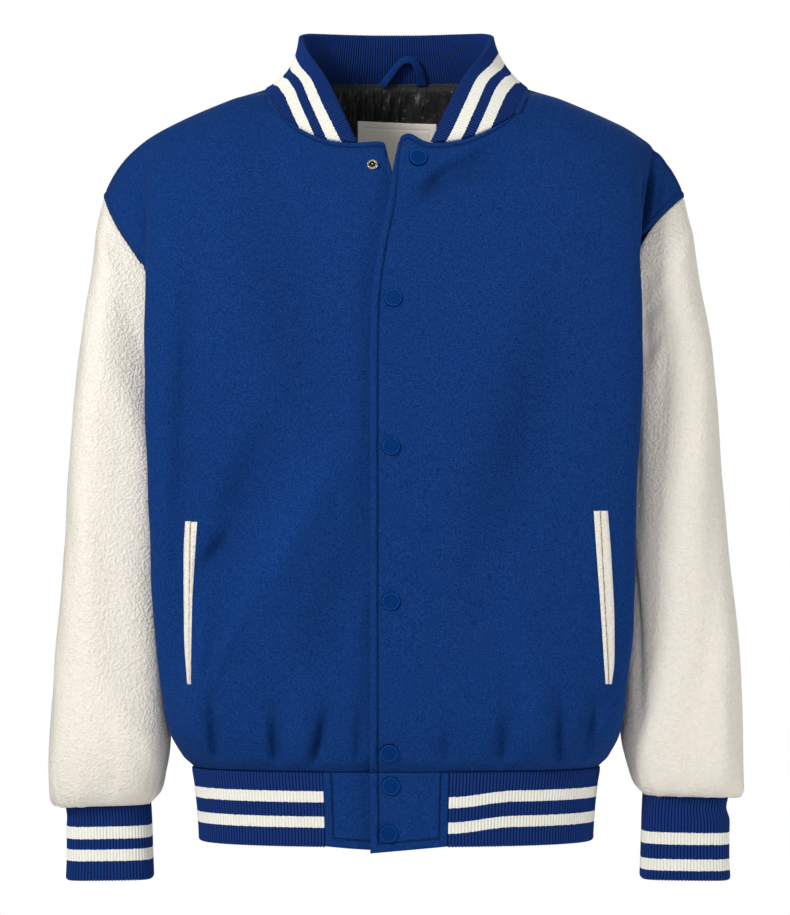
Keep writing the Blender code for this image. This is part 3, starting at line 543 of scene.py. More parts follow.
def sheet_piece(
    name, points, flat_place, materials, flip=False, closed=False, inside=None, stitched=None, turned_in=0
):
    """An object whose sheet passes through a grid of points. flat_place is where each point lies in the flat
    cloth, in metres, and becomes the UV map. closed joins what meets and fills open ends. inside is the grid
    of the cloth's inner face, which takes the second material but for the edge rows turned_in.
    stitched is 1 on a line of topstitching and where shade is painted on, and under 0
    where light is painted on, as on the ridges of folds."""
    stitched = np.zeros(points.shape[:2]) if stitched is None else stitched
    outer_rows = points.shape[1]
    if inside is not None:
        ring = np.allclose(points[0], points[-1])
        points = np.concatenate([points, inside[:, ::-1], points[:, :1]], axis=1)
        flat_place = np.concatenate([flat_place, flat_place[:, ::-1], flat_place[:, :1]], axis=1)
        stitched = np.concatenate([stitched, 0 * stitched, stitched[:, :1]], axis=1)
        if not ring:
            ends = points[[0, -1]].copy()
            ends[:, outer_rows:-1] = ends[:, outer_rows - 1 :: -1]
            points = np.concatenate([ends[:1], points, ends[1:]])
            flat_place = np.concatenate([flat_place[:1], flat_place, flat_place[-1:]])
            stitched = np.concatenate([stitched[:1], stitched, stitched[-1:]])
        closed = True
    columns, rows = points.shape[:2]
    sheet = bmesh.new()
    bmesh.ops.create_grid(sheet, x_segments=columns - 1, y_segments=rows - 1, size=0.5)
    sheet.loops.layers.uv.new("flat_cloth")
    data = bpy.data.meshes.new(name)
    sheet.to_mesh(data)
    sheet.free()
    where = np.empty(3 * len(data.vertices), np.float32)
    data.vertices.foreach_get("co", where)
    i, j = np.rint((where.reshape(-1, 3)[:, :2] + 0.5) * (columns - 1, rows - 1)).astype(int).T
    data.vertices.foreach_set("co", as_it_hangs(points)[i, j].astype(np.float32).ravel())
    stitched = stitched[i, j].astype(np.float32)
    data.attributes.new("stitched", "FLOAT", "POINT").data.foreach_set("value", stitched)
    corners = np.empty(len(data.loops), np.int32)
    data.loops.foreach_get("vertex_index", corners)
    flat_place = flat_place[i, j][corners].astype(np.float32)
    data.uv_layers["flat_cloth"].uv.foreach_set("vector", flat_place.ravel())
    if inside is not None:
        face_i, face_j = i[corners].reshape(-1, 4).min(1), j[corners].reshape(-1, 4).min(1)
        within = (face_j >= outer_rows + turned_in) & (face_j < rows - 2)
        within &= ring | ((face_i > turned_in) & (face_i < columns - 2 - turned_in))
        data.polygons.foreach_set("material_index", (within * (len(materials) - 1)).astype(np.int32))
    if flip:
        data.flip_normals()
    if closed:
        sheet = bmesh.new()
        sheet.from_mesh(data)
        bmesh.ops.remove_doubles(sheet, verts=sheet.verts[:], dist=0.00001)
        bmesh.ops.holes_fill(sheet, edges=[edge for edge in sheet.edges if edge.is_boundary], sides=0)
        sheet.to_mesh(data)
        sheet.free()
    data.shade_smooth()
    for material in materials:
        data.materials.append(material)
    piece = bpy.data.objects.new(name, data)
    scene.collection.objects.link(piece)
    return piece


def put_in_place(piece, node):
    """Fixes a finished piece to the jacket, in the place of a solid of the frame."""
    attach(piece, "root")
    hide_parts(node)


def flat_of(points):
    """Where a grid of points lies in the flat cloth: distances along its lines from the first ones."""
    return np.stack([run_along(points, 0), run_along(points, 1)], -1)


def place_in(material):
    """Where a point of the piece lies, in the jacket's own coordinates."""
    return node_of(material, "ShaderNodeTexCoord").outputs["Object"]


def stitches_and_painted_shading_of(material):
    """The piece's own value of how far a point is sewn with topstitching, and of the shade, over 0, or light,
    under 0, painted on it.
    """
    return node_of(material, "ShaderNodeAttribute", attribute_name="stitched").outputs["Fac"]


def noise_on(material, place=None, **settings):
    """A noise over the piece, with the texture's settings by name."""
    noise = node_of(material, "ShaderNodeTexNoise", **settings)
    join(material, place or place_in(material), noise.inputs["Vector"])
    return noise.outputs["Fac"]


def blended(material, share, first, second):
    """Two values mixed by a share of the second."""
    mix = node_of(material, "ShaderNodeMix", data_type="FLOAT")
    join(material, share, mix.inputs[0])
    join(material, first, mix.inputs[2])
    join(material, second, mix.inputs[3])
    return mix.outputs[0]


def mapped(material, value, at_0, at_1, **settings):
    """A value drawn out to run between two others."""
    drawn_out = node_of(material, "ShaderNodeMapRange", **settings)
    join(material, at_0, drawn_out.inputs["To Min"])
    join(material, at_1, drawn_out.inputs["To Max"])
    join(material, value, drawn_out.inputs["Value"])
    return drawn_out.outputs["Result"]


def tinted(material, value, low, high, low_at=0.0, high_at=1.0):
    """A colour between two others, as a value runs from low_at to high_at."""
    ramp = node_of(material, "ShaderNodeValToRGB")
    for element, position, colour in zip(ramp.color_ramp.elements, (low_at, high_at), (low, high)):
        element.position = position
        element.color = (*colour, 1)
    join(material, value, ramp.inputs["Fac"])
    return ramp.outputs["Color"]


def shaded(material, colour, share):
    """A colour made darker or lighter by a share."""
    scaled = node_of(material, "ShaderNodeVectorMath", operation="SCALE")
    join(material, colour, scaled.inputs[0])
    join(material, share, scaled.inputs["Scale"])
    return scaled.outputs["Vector"]


def embossed(material, height, strength, distance, below=None):
    """A fine relief of the surface, laid on the one below if there is one."""
    bump = node_of(material, "ShaderNodeBump", Strength=strength, Distance=distance)
    join(material, height, bump.inputs["Height"])
    if below:
        join(material, below, bump.inputs["Normal"])
    return bump.outputs["Normal"]


wool_finish, wool_shader = finish_of(
    "royal_melton", (0.010, 0.050, 0.235), 0.95,
    Specular_IOR_Level=0.05, Sheen_Weight=0.06, Sheen_Roughness=0.45, Sheen_Tint=(0.22, 0.45, 1.0, 1),
)
fibres = noise_on(wool_finish, Scale=880.0, Detail=1.5, Roughness=0.6)
clouds = noise_on(wool_finish, Scale=330.0, Detail=1.0, Roughness=0.5)
felt = blended(wool_finish, 0.10, fibres, clouds)
blues = tinted(wool_finish, felt, (0.0012, 0.0174, 0.099), (0.0088, 0.0475, 0.200), 0.33, 0.67)
# Darker along stitches and seams, by darker thread and by shade painted into their grooves; lighter or darker
# by the light and shade painted on the folds and the armhole crease
stitch_darkening_and_painted_shading = mapped(wool_finish, stitches_and_painted_shading_of(wool_finish), 1.0, 0.55, clamp=False)
join(wool_finish, shaded(wool_finish, blues, stitch_darkening_and_painted_shading), wool_shader.inputs["Base Color"])
join(wool_finish, embossed(wool_finish, felt, 0.55, 0.0005), wool_shader.inputs["Normal"])

satin_finish, satin_shader = finish_of(
    "black_satin", (0.013, 0.013, 0.013), 0.33,
    Specular_IOR_Level=0.8, Sheen_Weight=0.25, Sheen_Roughness=0.3,
)
drawn_place = node_of(
    satin_finish, "ShaderNodeMapping", Scale=(190.0, 190.0, 60.0), Rotation=(0.0, 0.5, 0.0)
)
join(satin_finish, place_in(satin_finish), drawn_place.inputs["Vector"])
puckers = noise_on(satin_finish, drawn_place.outputs["Vector"], Scale=1.0, Detail=2.0, Distortion=0.8)
weave = noise_on(satin_finish, Scale=900.0, Detail=1.0)
puckered = embossed(satin_finish, puckers, 0.7, 0.0030)
join(satin_finish, embossed(satin_finish, weave, 0.15, 0.0002, puckered), satin_shader.inputs["Normal"])
dulled = mapped(satin_finish, stitches_and_painted_shading_of(satin_finish), 0.36, 1.0)
join(satin_finish, dulled, satin_shader.inputs["Roughness"])

# Distances in from a panel's edge where its mesh has a line, fine enough for the stitch line
EDGE_LINES = np.array((0, 0.5, 1.0, 1.7, 2.6, 3.6, 4.6, 5.4, 6.1, 6.8, 7.5, 8.3, 9.3, 10.6, 12.4)) / 1000
Q_PER_METRE = 2.19
V_PER_METRE = 3.6
SIDE_Q_PER_METRE = 2.1
SHOULDER_STITCH = 0.0125
ARMHOLE_STITCH = 0.0066
FRONT_STITCH = 0.0075
NECK_STITCH = 0.0065
ARMHOLE_STITCHES_SEEN = {-1: 0.3, 1: 0.6}
COLUMN_STEP = 0.0072
SOFTENING_ROUNDS, SOFTENING = 60, 0.8
front_columns = np.concatenate([
    EDGE_LINES * Q_PER_METRE,
    np.arange(EDGE_LINES[-1] * Q_PER_METRE + 0.007, FOLD_AT - 0.005, COLUMN_STEP),
    np.linspace(FOLD_AT, 0.967, 18),
    1 - EDGE_LINES[::-1] * SIDE_Q_PER_METRE,
])
panel_rows = np.concatenate([
    (0, 0.003, 0.006),
    np.linspace(0.011, 1, 112),
    np.linspace(1.011, 2 - EDGE_LINES[-1] * V_PER_METRE - 0.008, 84),
    2 - EDGE_LINES[::-1] * V_PER_METRE,
])


def front_relief(side, points, q, v):
    """How far a front stands off its form at its edges, seams and slow waves, and how dark its stitches and
    seams are: darker thread, with shade painted into their grooves.
    """
    from_front_edge, from_side_seam, from_hem, from_top = insets_of(points)
    x, y, z = np.moveaxis(points, -1, 0)
    neck = ease((NECK_AT - q) / 0.012)
    inner = ease((from_front_edge - FRONT_STITCH) / 0.002 + 1)
    upper = ease((v - 1) / 0.06)
    relief = edge_shape(from_front_edge, FRONT_STITCH) * ease((from_top - NECK_STITCH) / 0.002 + 1)
    flatter = 1 - 0.75 * bell(q, NECK_AT, 0.07)
    relief += neck * edge_shape(from_top, NECK_STITCH) * inner * flatter
    relief += (1 - neck) * (seam_shape(from_top) + edge_shape(np.maximum(from_top, 0.008), SHOULDER_STITCH))
    relief += seam_shape(from_hem) + seam_shape(from_side_seam)
    relief += upper * edge_shape(np.maximum(from_side_seam, 0.003), ARMHOLE_STITCH) * 0.5
    relief += drift(x, y, z, 0.085, 1.0 + side) * 0.0005 * freedom(q, v)
    # Stitch lines and seams, which the wool makes darker: darker thread, with shade painted into their
    # grooves
    stitched = np.maximum.reduce([
        stitch_line(from_front_edge, FRONT_STITCH) * (from_top > NECK_STITCH),
        stitch_line(from_top, NECK_STITCH) * neck * inner,
        stitch_line(from_top, SHOULDER_STITCH) * (1 - neck) * 0.8,
        stitch_line(from_side_seam, ARMHOLE_STITCH) * upper * ARMHOLE_STITCHES_SEEN[side],
        stitch_line(from_hem, 0) * 0.8,
        stitch_line(from_side_seam, 0) * 0.8,
    ])
    return relief, stitched


for side, name in ((1, "left"), (-1, "right")):
    q, v = np.meshgrid(front_columns, panel_rows, indexing="ij")
    points = front_face(side, q, v)
    below_top = ease((1.985 - v) / 0.04)
    softer = bell(q, NECK_AT, 0.10) * ease((v - 1.2) / 0.25) * below_top
    if side > 0:
        softer = np.maximum(softer, bell(q, FOLD_AT, 0.035) * ease((v - 1.05) / 0.15) * below_top)
    for _ in range(SOFTENING_ROUNDS):
        middle = (points[:-2, 1:-1] + points[2:, 1:-1] + points[1:-1, :-2] + points[1:-1, 2:]) / 4
        points[1:-1, 1:-1] += (middle - points[1:-1, 1:-1]) * softer[1:-1, 1:-1, None] * SOFTENING
    outward = normals_of(points) * side
    crease = fold_rise(FOLDS.get(f"{name}_armhole", ()), points[..., 0], points[..., 2])
    points = points + outward * (crease * ease((v - 1.1) / 0.1) * ease((q - 0.7) / 0.06))[..., None]
    relief, stitched = front_relief(side, points, q, v)
    folds = fold_rise(FOLDS["front"], points[..., 0], points[..., 2]) * freedom(q, v)
    # Light painted on the fold ridges, shade painted in the fold hollows and in the armhole crease
    stitched = stitched - folds * PAINTED_FOLD_SHADING - np.minimum(crease, 0) * CREASE_SHADE
    below = under_overlap(points)[..., None] if side < 0 else 0
    front = sheet_piece(
        f"wool_front_{name}", points + outward * (relief[..., None] - below), flat_of(points),
        [wool_finish, satin_finish], flip=side < 0, inside=points - outward * (WOOL + below),
        stitched=np.clip(stitched, -0.4, 1), turned_in=12,
    )
    put_in_place(front, f"front_{name}")

BACK_COLUMN_STEP = 0.0092


def back_face(q, v):
    """Points of the back's outer face from side seam to side seam: q is under 0 on the wearer's right."""
    return np.where((q < 0)[..., None], body(True, -1, np.abs(q), v), body(True, 1, np.abs(q), v))


back_half = np.concatenate([
    np.arange(0, FOLD_AT, BACK_COLUMN_STEP),
    np.linspace(FOLD_AT, 0.982, 20),
    (0.988, 0.994, 1.0),
])
back_rows = np.concatenate([
    (0, 0.003, 0.006),
    np.linspace(0.013, 1, 84),
    np.linspace(1.014, 1.975, 68),
    (1.982, 1.988, 1.994, 2.0),
])
q, v = np.meshgrid(np.concatenate([-back_half[:0:-1], back_half]), back_rows, indexing="ij")
points = back_face(q, v)
outward = -normals_of(points)
x, y, z = np.moveaxis(points, -1, 0)
from_right_seam, from_left_seam, from_hem, from_top = insets_of(points)
relief = seam_shape(np.minimum(from_right_seam, from_left_seam)) + seam_shape(from_hem) + seam_shape(from_top)
relief += drift(x, y, z, 0.095, 5.0) * 0.0006 * freedom(q, v)
# The back's folds get painted light on their ridges and painted shade in their hollows
back = sheet_piece(
    "wool_back", points + outward * relief[..., None], flat_of(points), [wool_finish, satin_finish],
    flip=True, inside=points - outward * WOOL, turned_in=8,
    stitched=-fold_rise(FOLDS["back"], x, z) * freedom(np.abs(q), v) * PAINTED_FOLD_SHADING,
)
put_in_place(back, "back")

# The sleeves: each a wide tube of ivory pebbled leather-look cloth on a knit backing, sewn into the
# armhole and gathered a little into its cuff. They are lined with the same black satin.
LEATHER = 0.002
LEATHER_PITCH = 0.0045
LEATHER_PITCH_ROUND = 0.0033
GATHERS, GATHER_HEIGHT = 17, 0.0011
Ring = namedtuple("Ring", "outer_z inner_z outer_x inner_x mid_y half_depth")
NumberedRing = namedtuple("NumberedRing", ("number",) + Ring._fields)
SLEEVE = (
    Ring(-0.1330, -0.3000, 0.2895, 0.2195, 0.005, 0.0640),
    Ring(-0.1860, -0.3250, 0.2963, 0.2195, 0.005, 0.0665),
    Ring(-0.2500, -0.3600, 0.3060, 0.2190, 0.004, 0.0675),
    Ring(-0.3560, -0.4200, 0.3180, 0.2175, 0.000, 0.0670),
    Ring(-0.4600, -0.4900, 0.3262, 0.2165, -0.006, 0.0640),
    Ring(-0.5600, -0.5700, 0.3340, 0.2165, -0.012, 0.0620),
    Ring(-0.6250, -0.6250, 0.3380, 0.2170, -0.017, 0.0620),
    Ring(-0.6600, -0.6570, 0.3392, 0.2215, -0.019, 0.0600),
    Ring(-0.6820, -0.6780, 0.3385, 0.2275, -0.020, 0.0540),
    Ring(-0.6900, -0.6865, 0.3330, 0.2350, -0.020, 0.0460),
    Ring(-0.6900, -0.6880, 0.3235, 0.2360, -0.020, 0.0400),
)

# A sleeve is a little squarer than an ellipse across: under 1 is squarer
ROUNDNESS = {-1: 0.58, 1: 0.67}

# The right sleeve hangs a little forward, the left one further out, and the left cuff begins higher
LEFT_SLEEVE_OUT = 0.0030
RIGHT_SLEEVE_FORWARD = 0.0120
LEFT_SLEEVE_BACK = 0.0015
LEFT_CUFF_OUT = 0.0055
LEFT_SLEEVE_UP = 0.0090

# Creases on the front and on the back of each sleeve, in the same order as the folds of the body
SLEEVE_FOLDS = {
    "right_front": (
        (-0.300, -0.430, 0.200, 0.014, -3, 0.0022),
        (-0.262, -0.600, 0.060, 0.012, -34, 0.0022),
        (-0.290, -0.645, 0.045, 0.010, -28, -0.0022),
        (-0.244, -0.635, 0.030, 0.008, -20, -0.0018),
        (-0.318, -0.655, 0.030, 0.008, 8, -0.0020),
        (-0.272, -0.668, 0.016, 0.006, 4, -0.0016),
        (-0.240, -0.300, 0.050, 0.010, -10, -0.0015),
    ),
    "left_front": (
        (0.316, -0.400, 0.170, 0.012, 5, -0.0030),
        (0.298, -0.330, 0.190, 0.012, 5, 0.0022),
        (0.318, -0.610, 0.080, 0.010, -3, 0.0030),
        (0.297, -0.560, 0.070, 0.012, 14, -0.0025),
        (0.266, -0.250, 0.080, 0.009, 8, -0.0018),
        (0.2420, -0.205, 0.060, 0.0045, -3, -0.0045),
        (0.2350, -0.350, 0.080, 0.0045, -2, -0.0045),
        (0.2310, -0.490, 0.090, 0.0050, -3, -0.0090),
        (0.2500, -0.178, 0.012, 0.0035, 30, -0.0020),
        (0.2505, -0.210, 0.012, 0.0035, 34, -0.0020),
        (0.2500, -0.245, 0.014, 0.0040, 26, -0.0020),
        (0.280, -0.655, 0.030, 0.009, -8, -0.0022),
        (0.252, -0.650, 0.030, 0.008, 12, -0.0020),
    ),
    "right_back": (
        (-0.285, -0.360, 0.160, 0.014, -6, -0.0030),
        (-0.262, -0.560, 0.060, 0.012, 24, -0.0030),
        (-0.300, -0.640, 0.036, 0.010, 5, -0.0025),
    ),
    "left_back": (
        (0.290, -0.350, 0.150, 0.014, 5, -0.0030),
        (0.268, -0.570, 0.060, 0.012, -26, -0.0030),
        (0.300, -0.645, 0.034, 0.010, 0, -0.0025),
    ),
}


def ring_points(rings, side, turn, at, roundness=ROUNDNESS[-1]):
    """Points of a sleeve or cuff: at counts the rings down, turn is 0 outside and under 0 on the front."""
    rows = [NumberedRing(number, *ring) for number, ring in enumerate(rings)]
    line = {column: curve(rows, "number", column, at) for column in Ring._fields}
    outer = np.stack([line["outer_x"], line["mid_y"], line["outer_z"]], -1)
    inner = np.stack([line["inner_x"], line["mid_y"], line["inner_z"]], -1)
    level, forward = (np.sign(wave) * np.abs(wave) ** roundness for wave in (np.cos(turn), np.sin(turn)))
    points = (outer + inner) / 2 + (outer - inner) / 2 * level[..., None]
    points[..., 1] += line["half_depth"] * forward
    points[..., 0] *= side
    return points


def sleeve(side, turn, at):
    """Points of a sleeve: at is 0 at the armhole and 1 at the first ring."""
    start = armhole(side, turn)
    start[..., 0] *= side
    roundness = ROUNDNESS[-1] + (ROUNDNESS[side] - ROUNDNESS[-1]) * ease((11 - at) / 3)
    points = ring_points(SLEEVE, side, turn, np.maximum(0, at - 1), roundness)
    if side < 0:
        points[..., 1] -= RIGHT_SLEEVE_FORWARD * ease((at - 1) / 2.5) * ease((9.5 - at) / 3)
    if side > 0:
        points[..., 1] += LEFT_SLEEVE_BACK * ease((at - 1) / 2) * ease((9.5 - at) / 3)
        points[..., 0] += LEFT_SLEEVE_OUT * ease(at / 3)
        points[..., 0] += (LEFT_CUFF_OUT - LEFT_SLEEVE_OUT) * ease((at - 6) / 4)
        points[..., 2] += LEFT_SLEEVE_UP * ease((at - 5) / 4)
    return start + (points - start) * np.clip(at, 0, 1)[..., None]


def evenly(surface_line, first, last, pitch):
    """Values of a parameter from first to last that lie a pitch apart on a line of a surface."""
    dense = np.linspace(first, last, 1200)
    run = run_along(surface_line(dense), 0)
    return np.interp(np.linspace(0, run[-1], max(2, round(run[-1] / pitch)) + 1), run, dense)


leather_finish, leather_shader = finish_of(
    "ivory_leather", (0.80, 0.765, 0.70), 0.52, Specular_IOR_Level=0.35
)
pebbles = node_of(leather_finish, "ShaderNodeTexVoronoi", feature="F1", Scale=400.0, Randomness=1.0)
join(leather_finish, place_in(leather_finish), pebbles.inputs["Vector"])
grain = noise_on(leather_finish, Scale=240.0, Detail=3.0, Roughness=0.55)
pebbled = blended(leather_finish, 0.55, pebbles.outputs["Distance"], grain)
join(leather_finish, embossed(leather_finish, pebbled, 0.85, 0.0022), leather_shader.inputs["Normal"])
ivories = tinted(leather_finish, grain, (0.765, 0.716, 0.632), (0.825, 0.775, 0.690), 0.25, 0.75)
# A tan shadow painted on the welts along the pocket's opening line
opening_painted_shadow = node_of(leather_finish, "ShaderNodeMix", data_type="RGBA")
join(leather_finish, stitches_and_painted_shading_of(leather_finish), opening_painted_shadow.inputs[0])
join(leather_finish, ivories, opening_painted_shadow.inputs[6])
join(leather_finish, (0.30, 0.205, 0.145, 1), opening_painted_shadow.inputs[7])
join(leather_finish, opening_painted_shadow.outputs[2], leather_shader.inputs["Base Color"])

for side, name in ((1, "left"), (-1, "right")):
    turns = evenly(
        lambda turn: sleeve(side, turn, np.full_like(turn, 4.0)), 0, 2 * math.pi, LEATHER_PITCH_ROUND
    )
    downs = evenly(
        lambda at: sleeve(side, np.full_like(at, -math.pi / 2), at), 0, len(SLEEVE), LEATHER_PITCH
    )
    downs = np.unique(np.concatenate([(0, 0.03, 0.07), downs[2:], np.linspace(9.2, len(SLEEVE), 12)]))
    turn, at = np.meshgrid(turns, downs, indexing="ij")
    wrapped = np.where(turn > math.pi, turn - 2 * math.pi, turn)
    points = sleeve(side, wrapped, at)
    x, y, z = np.moveaxis(points, -1, 0)
    free = ease(at / 0.8) * ease((len(SLEEVE) - 1.2 - at) / 1.5)
    before = ease(-np.sin(wrapped) * 2.5)
    behind = ease(np.sin(wrapped) * 2.5)
    relief = fold_rise(SLEEVE_FOLDS[name + "_front"], x, z) * before
    relief += fold_rise(SLEEVE_FOLDS[name + "_back"], x, z) * behind
    relief += drift(x, y, z * 0.45, 0.055, 2.0 + side) * 0.0007
    relief *= free
    gather = np.sin(turn * GATHERS + 1.5 * np.sin(turn * 5 + side))
    gather *= 0.6 + 0.4 * np.sin(turn * 3 + 2 * side)
    relief += gather * GATHER_HEIGHT * ease((at - 7.6) / 1.6) * (1 - ease((at - 10.4) / 0.6))
    relief += seam_shape(run_along(points, 1)) * 0.8
    outward = -side * normals_of(points)
    sheet = points + outward * relief[..., None]
    inner_sheet = points + outward * (relief - LEATHER)[..., None]
    sheet[-1], inner_sheet[-1] = sheet[0], inner_sheet[0]
    piece = sheet_piece(
        f"leather_sleeve_{name}", sheet, flat_of(points), [leather_finish, satin_finish],
        flip=side > 0, inside=inner_sheet,
    )
    put_in_place(piece, f"sleeve_{name}")

# The ribs: cuffs and waistband knitted in 1x1 rib, folded double at the free edge and sewn in with a
# stretch; dark blue with two cream stripes knitted in.
RIB = 0.004
RIB_PITCH = 0.0032
NECK_RIB_PITCH = 0.0024
RIB_HEIGHT = 0.0010
RIB_PLAIN = 0.098
RIB_PROFILE = (0.0, 0.8, 1.0, 0.8)
RAMP_PER_METRE = 10.0
CUFF_LENGTH = 0.071
WAISTBAND_BOTTOM_Z = -0.7230
CUFF = (
    Ring(-0.6900, -0.6880, 0.3225, 0.2370, -0.020, 0.0390),
    Ring(-0.7050, -0.7040, 0.3195, 0.2360, -0.020, 0.0370),
    Ring(-0.7350, -0.7340, 0.3190, 0.2350, -0.020, 0.0360),
    Ring(-0.6900 - CUFF_LENGTH, -0.6890 - CUFF_LENGTH, 0.3200, 0.2340, -0.020, 0.0360),
)
WAISTBAND = (
    Section(WAISTBAND_BOTTOM_Z, 0.1905, -0.119, -0.020, 0.1905, 0.1905, 0.114, 0.025),
    Section(-0.7000, 0.1915, -0.120, -0.022, 0.1915, 0.1915, 0.115, 0.027),
    Section(-0.6680, 0.1945, -0.1215, -0.027, 0.1945, 0.1945, 0.117, 0.032),
    Section(HEM_Z, 0.1965, -0.122, -0.030, 0.1960, 0.1965, 0.118, 0.035),
)
LEFT_TAB_END_X = 0.0512
RIGHT_TAB_END_X = -0.0664

# Stripes of each rib, as distances from its free edge. Round to the left tab they run lower
CUFF_STRIPES_LEFT = ((0.0086, 0.0196), (0.0338, 0.0450))
CUFF_STRIPES_RIGHT = ((0.0180, 0.0290), (0.0392, 0.0508))
WAIST_STRIPES = ((0.0177, 0.0285), (0.0420, 0.0526))
STRIPE_DROP = 0.0055


def reckoned(material, operation, *values):
    """A sum on sockets and numbers."""
    node = node_of(material, "ShaderNodeMath", operation=operation)
    for value, into in zip(values, node.inputs):
        join(material, value, into)
    return node.outputs["Value"]


def rib_finish_of(name, stripes, pitch=RIB_PITCH):
    """Knitted rib: blue, with cream stripes between the distances given, measured from the free edge.
    Shade is painted into the valleys between the ribs and light on their tops, on the blue yarn more than on
    the cream.
    """
    finish, shader = finish_of(name, (0.010, 0.026, 0.105), 0.95, Specular_IOR_Level=0.06)
    cloth = node_of(finish, "ShaderNodeUVMap", uv_map="flat_cloth")
    place = node_of(finish, "ShaderNodeSeparateXYZ")
    join(finish, cloth.outputs["UV"], place.inputs["Vector"])
    knit = noise_on(finish, Scale=900.0, Detail=2.0)
    uneven = reckoned(finish, "MULTIPLY_ADD", knit, 0.0020, -0.0010)
    height = reckoned(finish, "ADD", place.outputs["Y"], uneven)
    yarns = node_of(finish, "ShaderNodeValToRGB")
    yarns.color_ramp.interpolation = "CONSTANT"
    blue, cream = (0.0070, 0.0270, 0.135, 1), (0.80, 0.79, 0.715, 1)
    yarns.color_ramp.elements[0].color = blue
    yarns.color_ramp.elements[1].position = 0.999
    yarns.color_ramp.elements[1].color = blue
    for low, high in stripes:
        yarns.color_ramp.elements.new(low * RAMP_PER_METRE).color = cream
        yarns.color_ramp.elements.new(high * RAMP_PER_METRE).color = blue
    join(finish, reckoned(finish, "MULTIPLY", height, RAMP_PER_METRE), yarns.inputs["Fac"])
    # Shade painted into the valleys between the ribs and light on their tops, kept mostly off the cream yarn
    turns = reckoned(finish, "MULTIPLY", place.outputs["X"], 2 * math.pi / pitch)
    valley = mapped(finish, reckoned(finish, "COSINE", turns), 1.22, 0.22, **{"From Min": 0.1})
    light = node_of(finish, "ShaderNodeRGBToBW")
    join(finish, yarns.outputs["Color"], light.inputs["Color"])
    painted_rib_shading = blended(finish, light.outputs["Val"], valley, 1.0)
    join(finish, shaded(finish, yarns.outputs["Color"], painted_rib_shading), shader.inputs["Base Color"])
    join(finish, embossed(finish, knit, 0.5, 0.0005), shader.inputs["Normal"])
    return finish


def rib_loop(length, outer_rows, inner_rows):
    """The cross-section of a rib folded double, as (distance from the free edge, depth, angle) rows: down the
    outer face, round the fold and up the inner face."""
    fold = RIB / 2
    rows = [(height, 0.0, 0.0) for height in np.linspace(length, fold, outer_rows)]
    for angle in np.radians((30, 60, 90, 120, 150)):
        rows.append((fold - fold * math.sin(angle), fold - fold * math.cos(angle), angle))
    rows += [(height, RIB, math.pi) for height in np.linspace(fold, length, inner_rows)]
    return np.array(rows).T


UP = np.array((0.0, 0.0, 1.0))


def ribbed(name, outer, outward, rows, finish, rib_at, run, closed=False, drop=0):
    """A ribbed band, folded double. outer holds the points of the outer face for each column and row of
    rib_loop, outward its direction, rib_at the height of the rib at each column and run the distance along
    the band. drop is how much lower the stripes run at each column."""
    height, depth, angle = rows
    facing = outward * np.cos(angle)[None, :, None] - UP * np.sin(angle)[None, :, None]
    points = outer - outward * depth[None, :, None] + facing * (rib_at[:, None] * RIB_HEIGHT)[..., None]
    points = np.concatenate([points, points[:, -1:], points[:, :1]], axis=1)
    stripe_v = np.where(angle > 2, -height, height)
    stripe_v = np.concatenate([stripe_v, [RIB_PLAIN], stripe_v[:1]])
    stripe_v = stripe_v[None, :] * (1 + 0 * run[:, None]) + np.sign(stripe_v) * np.reshape(drop, (-1, 1))
    flat_place = np.stack(np.broadcast_arrays(run[:, None], stripe_v), -1)
    if closed:
        points[-1] = points[0]
    return sheet_piece(name, points, flat_place, [finish], closed=True)


def rib_columns(line, first, last, pitch=RIB_PITCH):
    """Parameter values, rib heights and distances of the columns of a band along a line."""
    dense = np.linspace(first, last, 4000)
    run = run_along(line(dense), 0)
    count = round(run[-1] / pitch) * len(RIB_PROFILE)
    distance = np.linspace(0, run[-1], count + 1)
    even_run = np.arange(count + 1) * pitch / len(RIB_PROFILE)
    rib_at = np.array([RIB_PROFILE[k % len(RIB_PROFILE)] for k in range(count + 1)])
    return np.interp(distance, run, dense), rib_at, even_run


def cuff(side, turn, at):
    """Points of a cuff: at counts its rings down from the sleeve."""
    points = ring_points(CUFF, side, turn, at)
    if side > 0:
        points[..., 0] += LEFT_CUFF_OUT
        points[..., 2] += LEFT_SLEEVE_UP * ease(1 - at / 2)
    return points


def cut_down(surface, column, rows, first, last):
    """Points of a surface down a column at given distances from its end, shared out over its own length."""
    dense = np.linspace(first, last, 60)
    line = surface(np.full_like(dense, column), dense)
    run = run_along(line, 0)
    at = np.interp(run[-1] * (1 - rows / rows.max()), run, dense)
    return surface(np.full_like(at, column), at)


for side, name, stripes in ((1, "left", CUFF_STRIPES_LEFT), (-1, "right", CUFF_STRIPES_RIGHT)):
    length = CUFF_LENGTH + (LEFT_SLEEVE_UP if side > 0 else 0)
    rows = rib_loop(length, 22, 6)
    surface = partial(cuff, side)
    last = len(CUFF) - 1
    turns, rib_at, run = rib_columns(
        lambda turn: surface(-side * turn, np.full_like(turn, last / 2)), 0, 2 * math.pi
    )
    face = np.stack([cut_down(surface, -side * turn, rows[0], 0, last) for turn in turns])
    even_rows = np.linspace(length, 0, 12)
    even_face = np.stack([cut_down(surface, -side * turn, even_rows, 0, last) for turn in turns])
    outward = normals_of(even_face)[:, 6:7]
    if np.sum(outward[0, 0] * (face[0, 0] - face.mean(axis=(0, 1)))) < 0:
        outward = -outward
    finish = rib_finish_of(f"cuff_rib_{name}", stripes)
    piece = ribbed(f"rib_cuff_{name}", face, outward, rows, finish, rib_at, run, closed=True)
    put_in_place(piece, f"cuff_{name}")


def waist_q(x):
    """The section parameter where the front of the waistband passes x."""
    return FOLD_AT * 2 / math.pi * math.asin(x / WAISTBAND[1].fold_x)


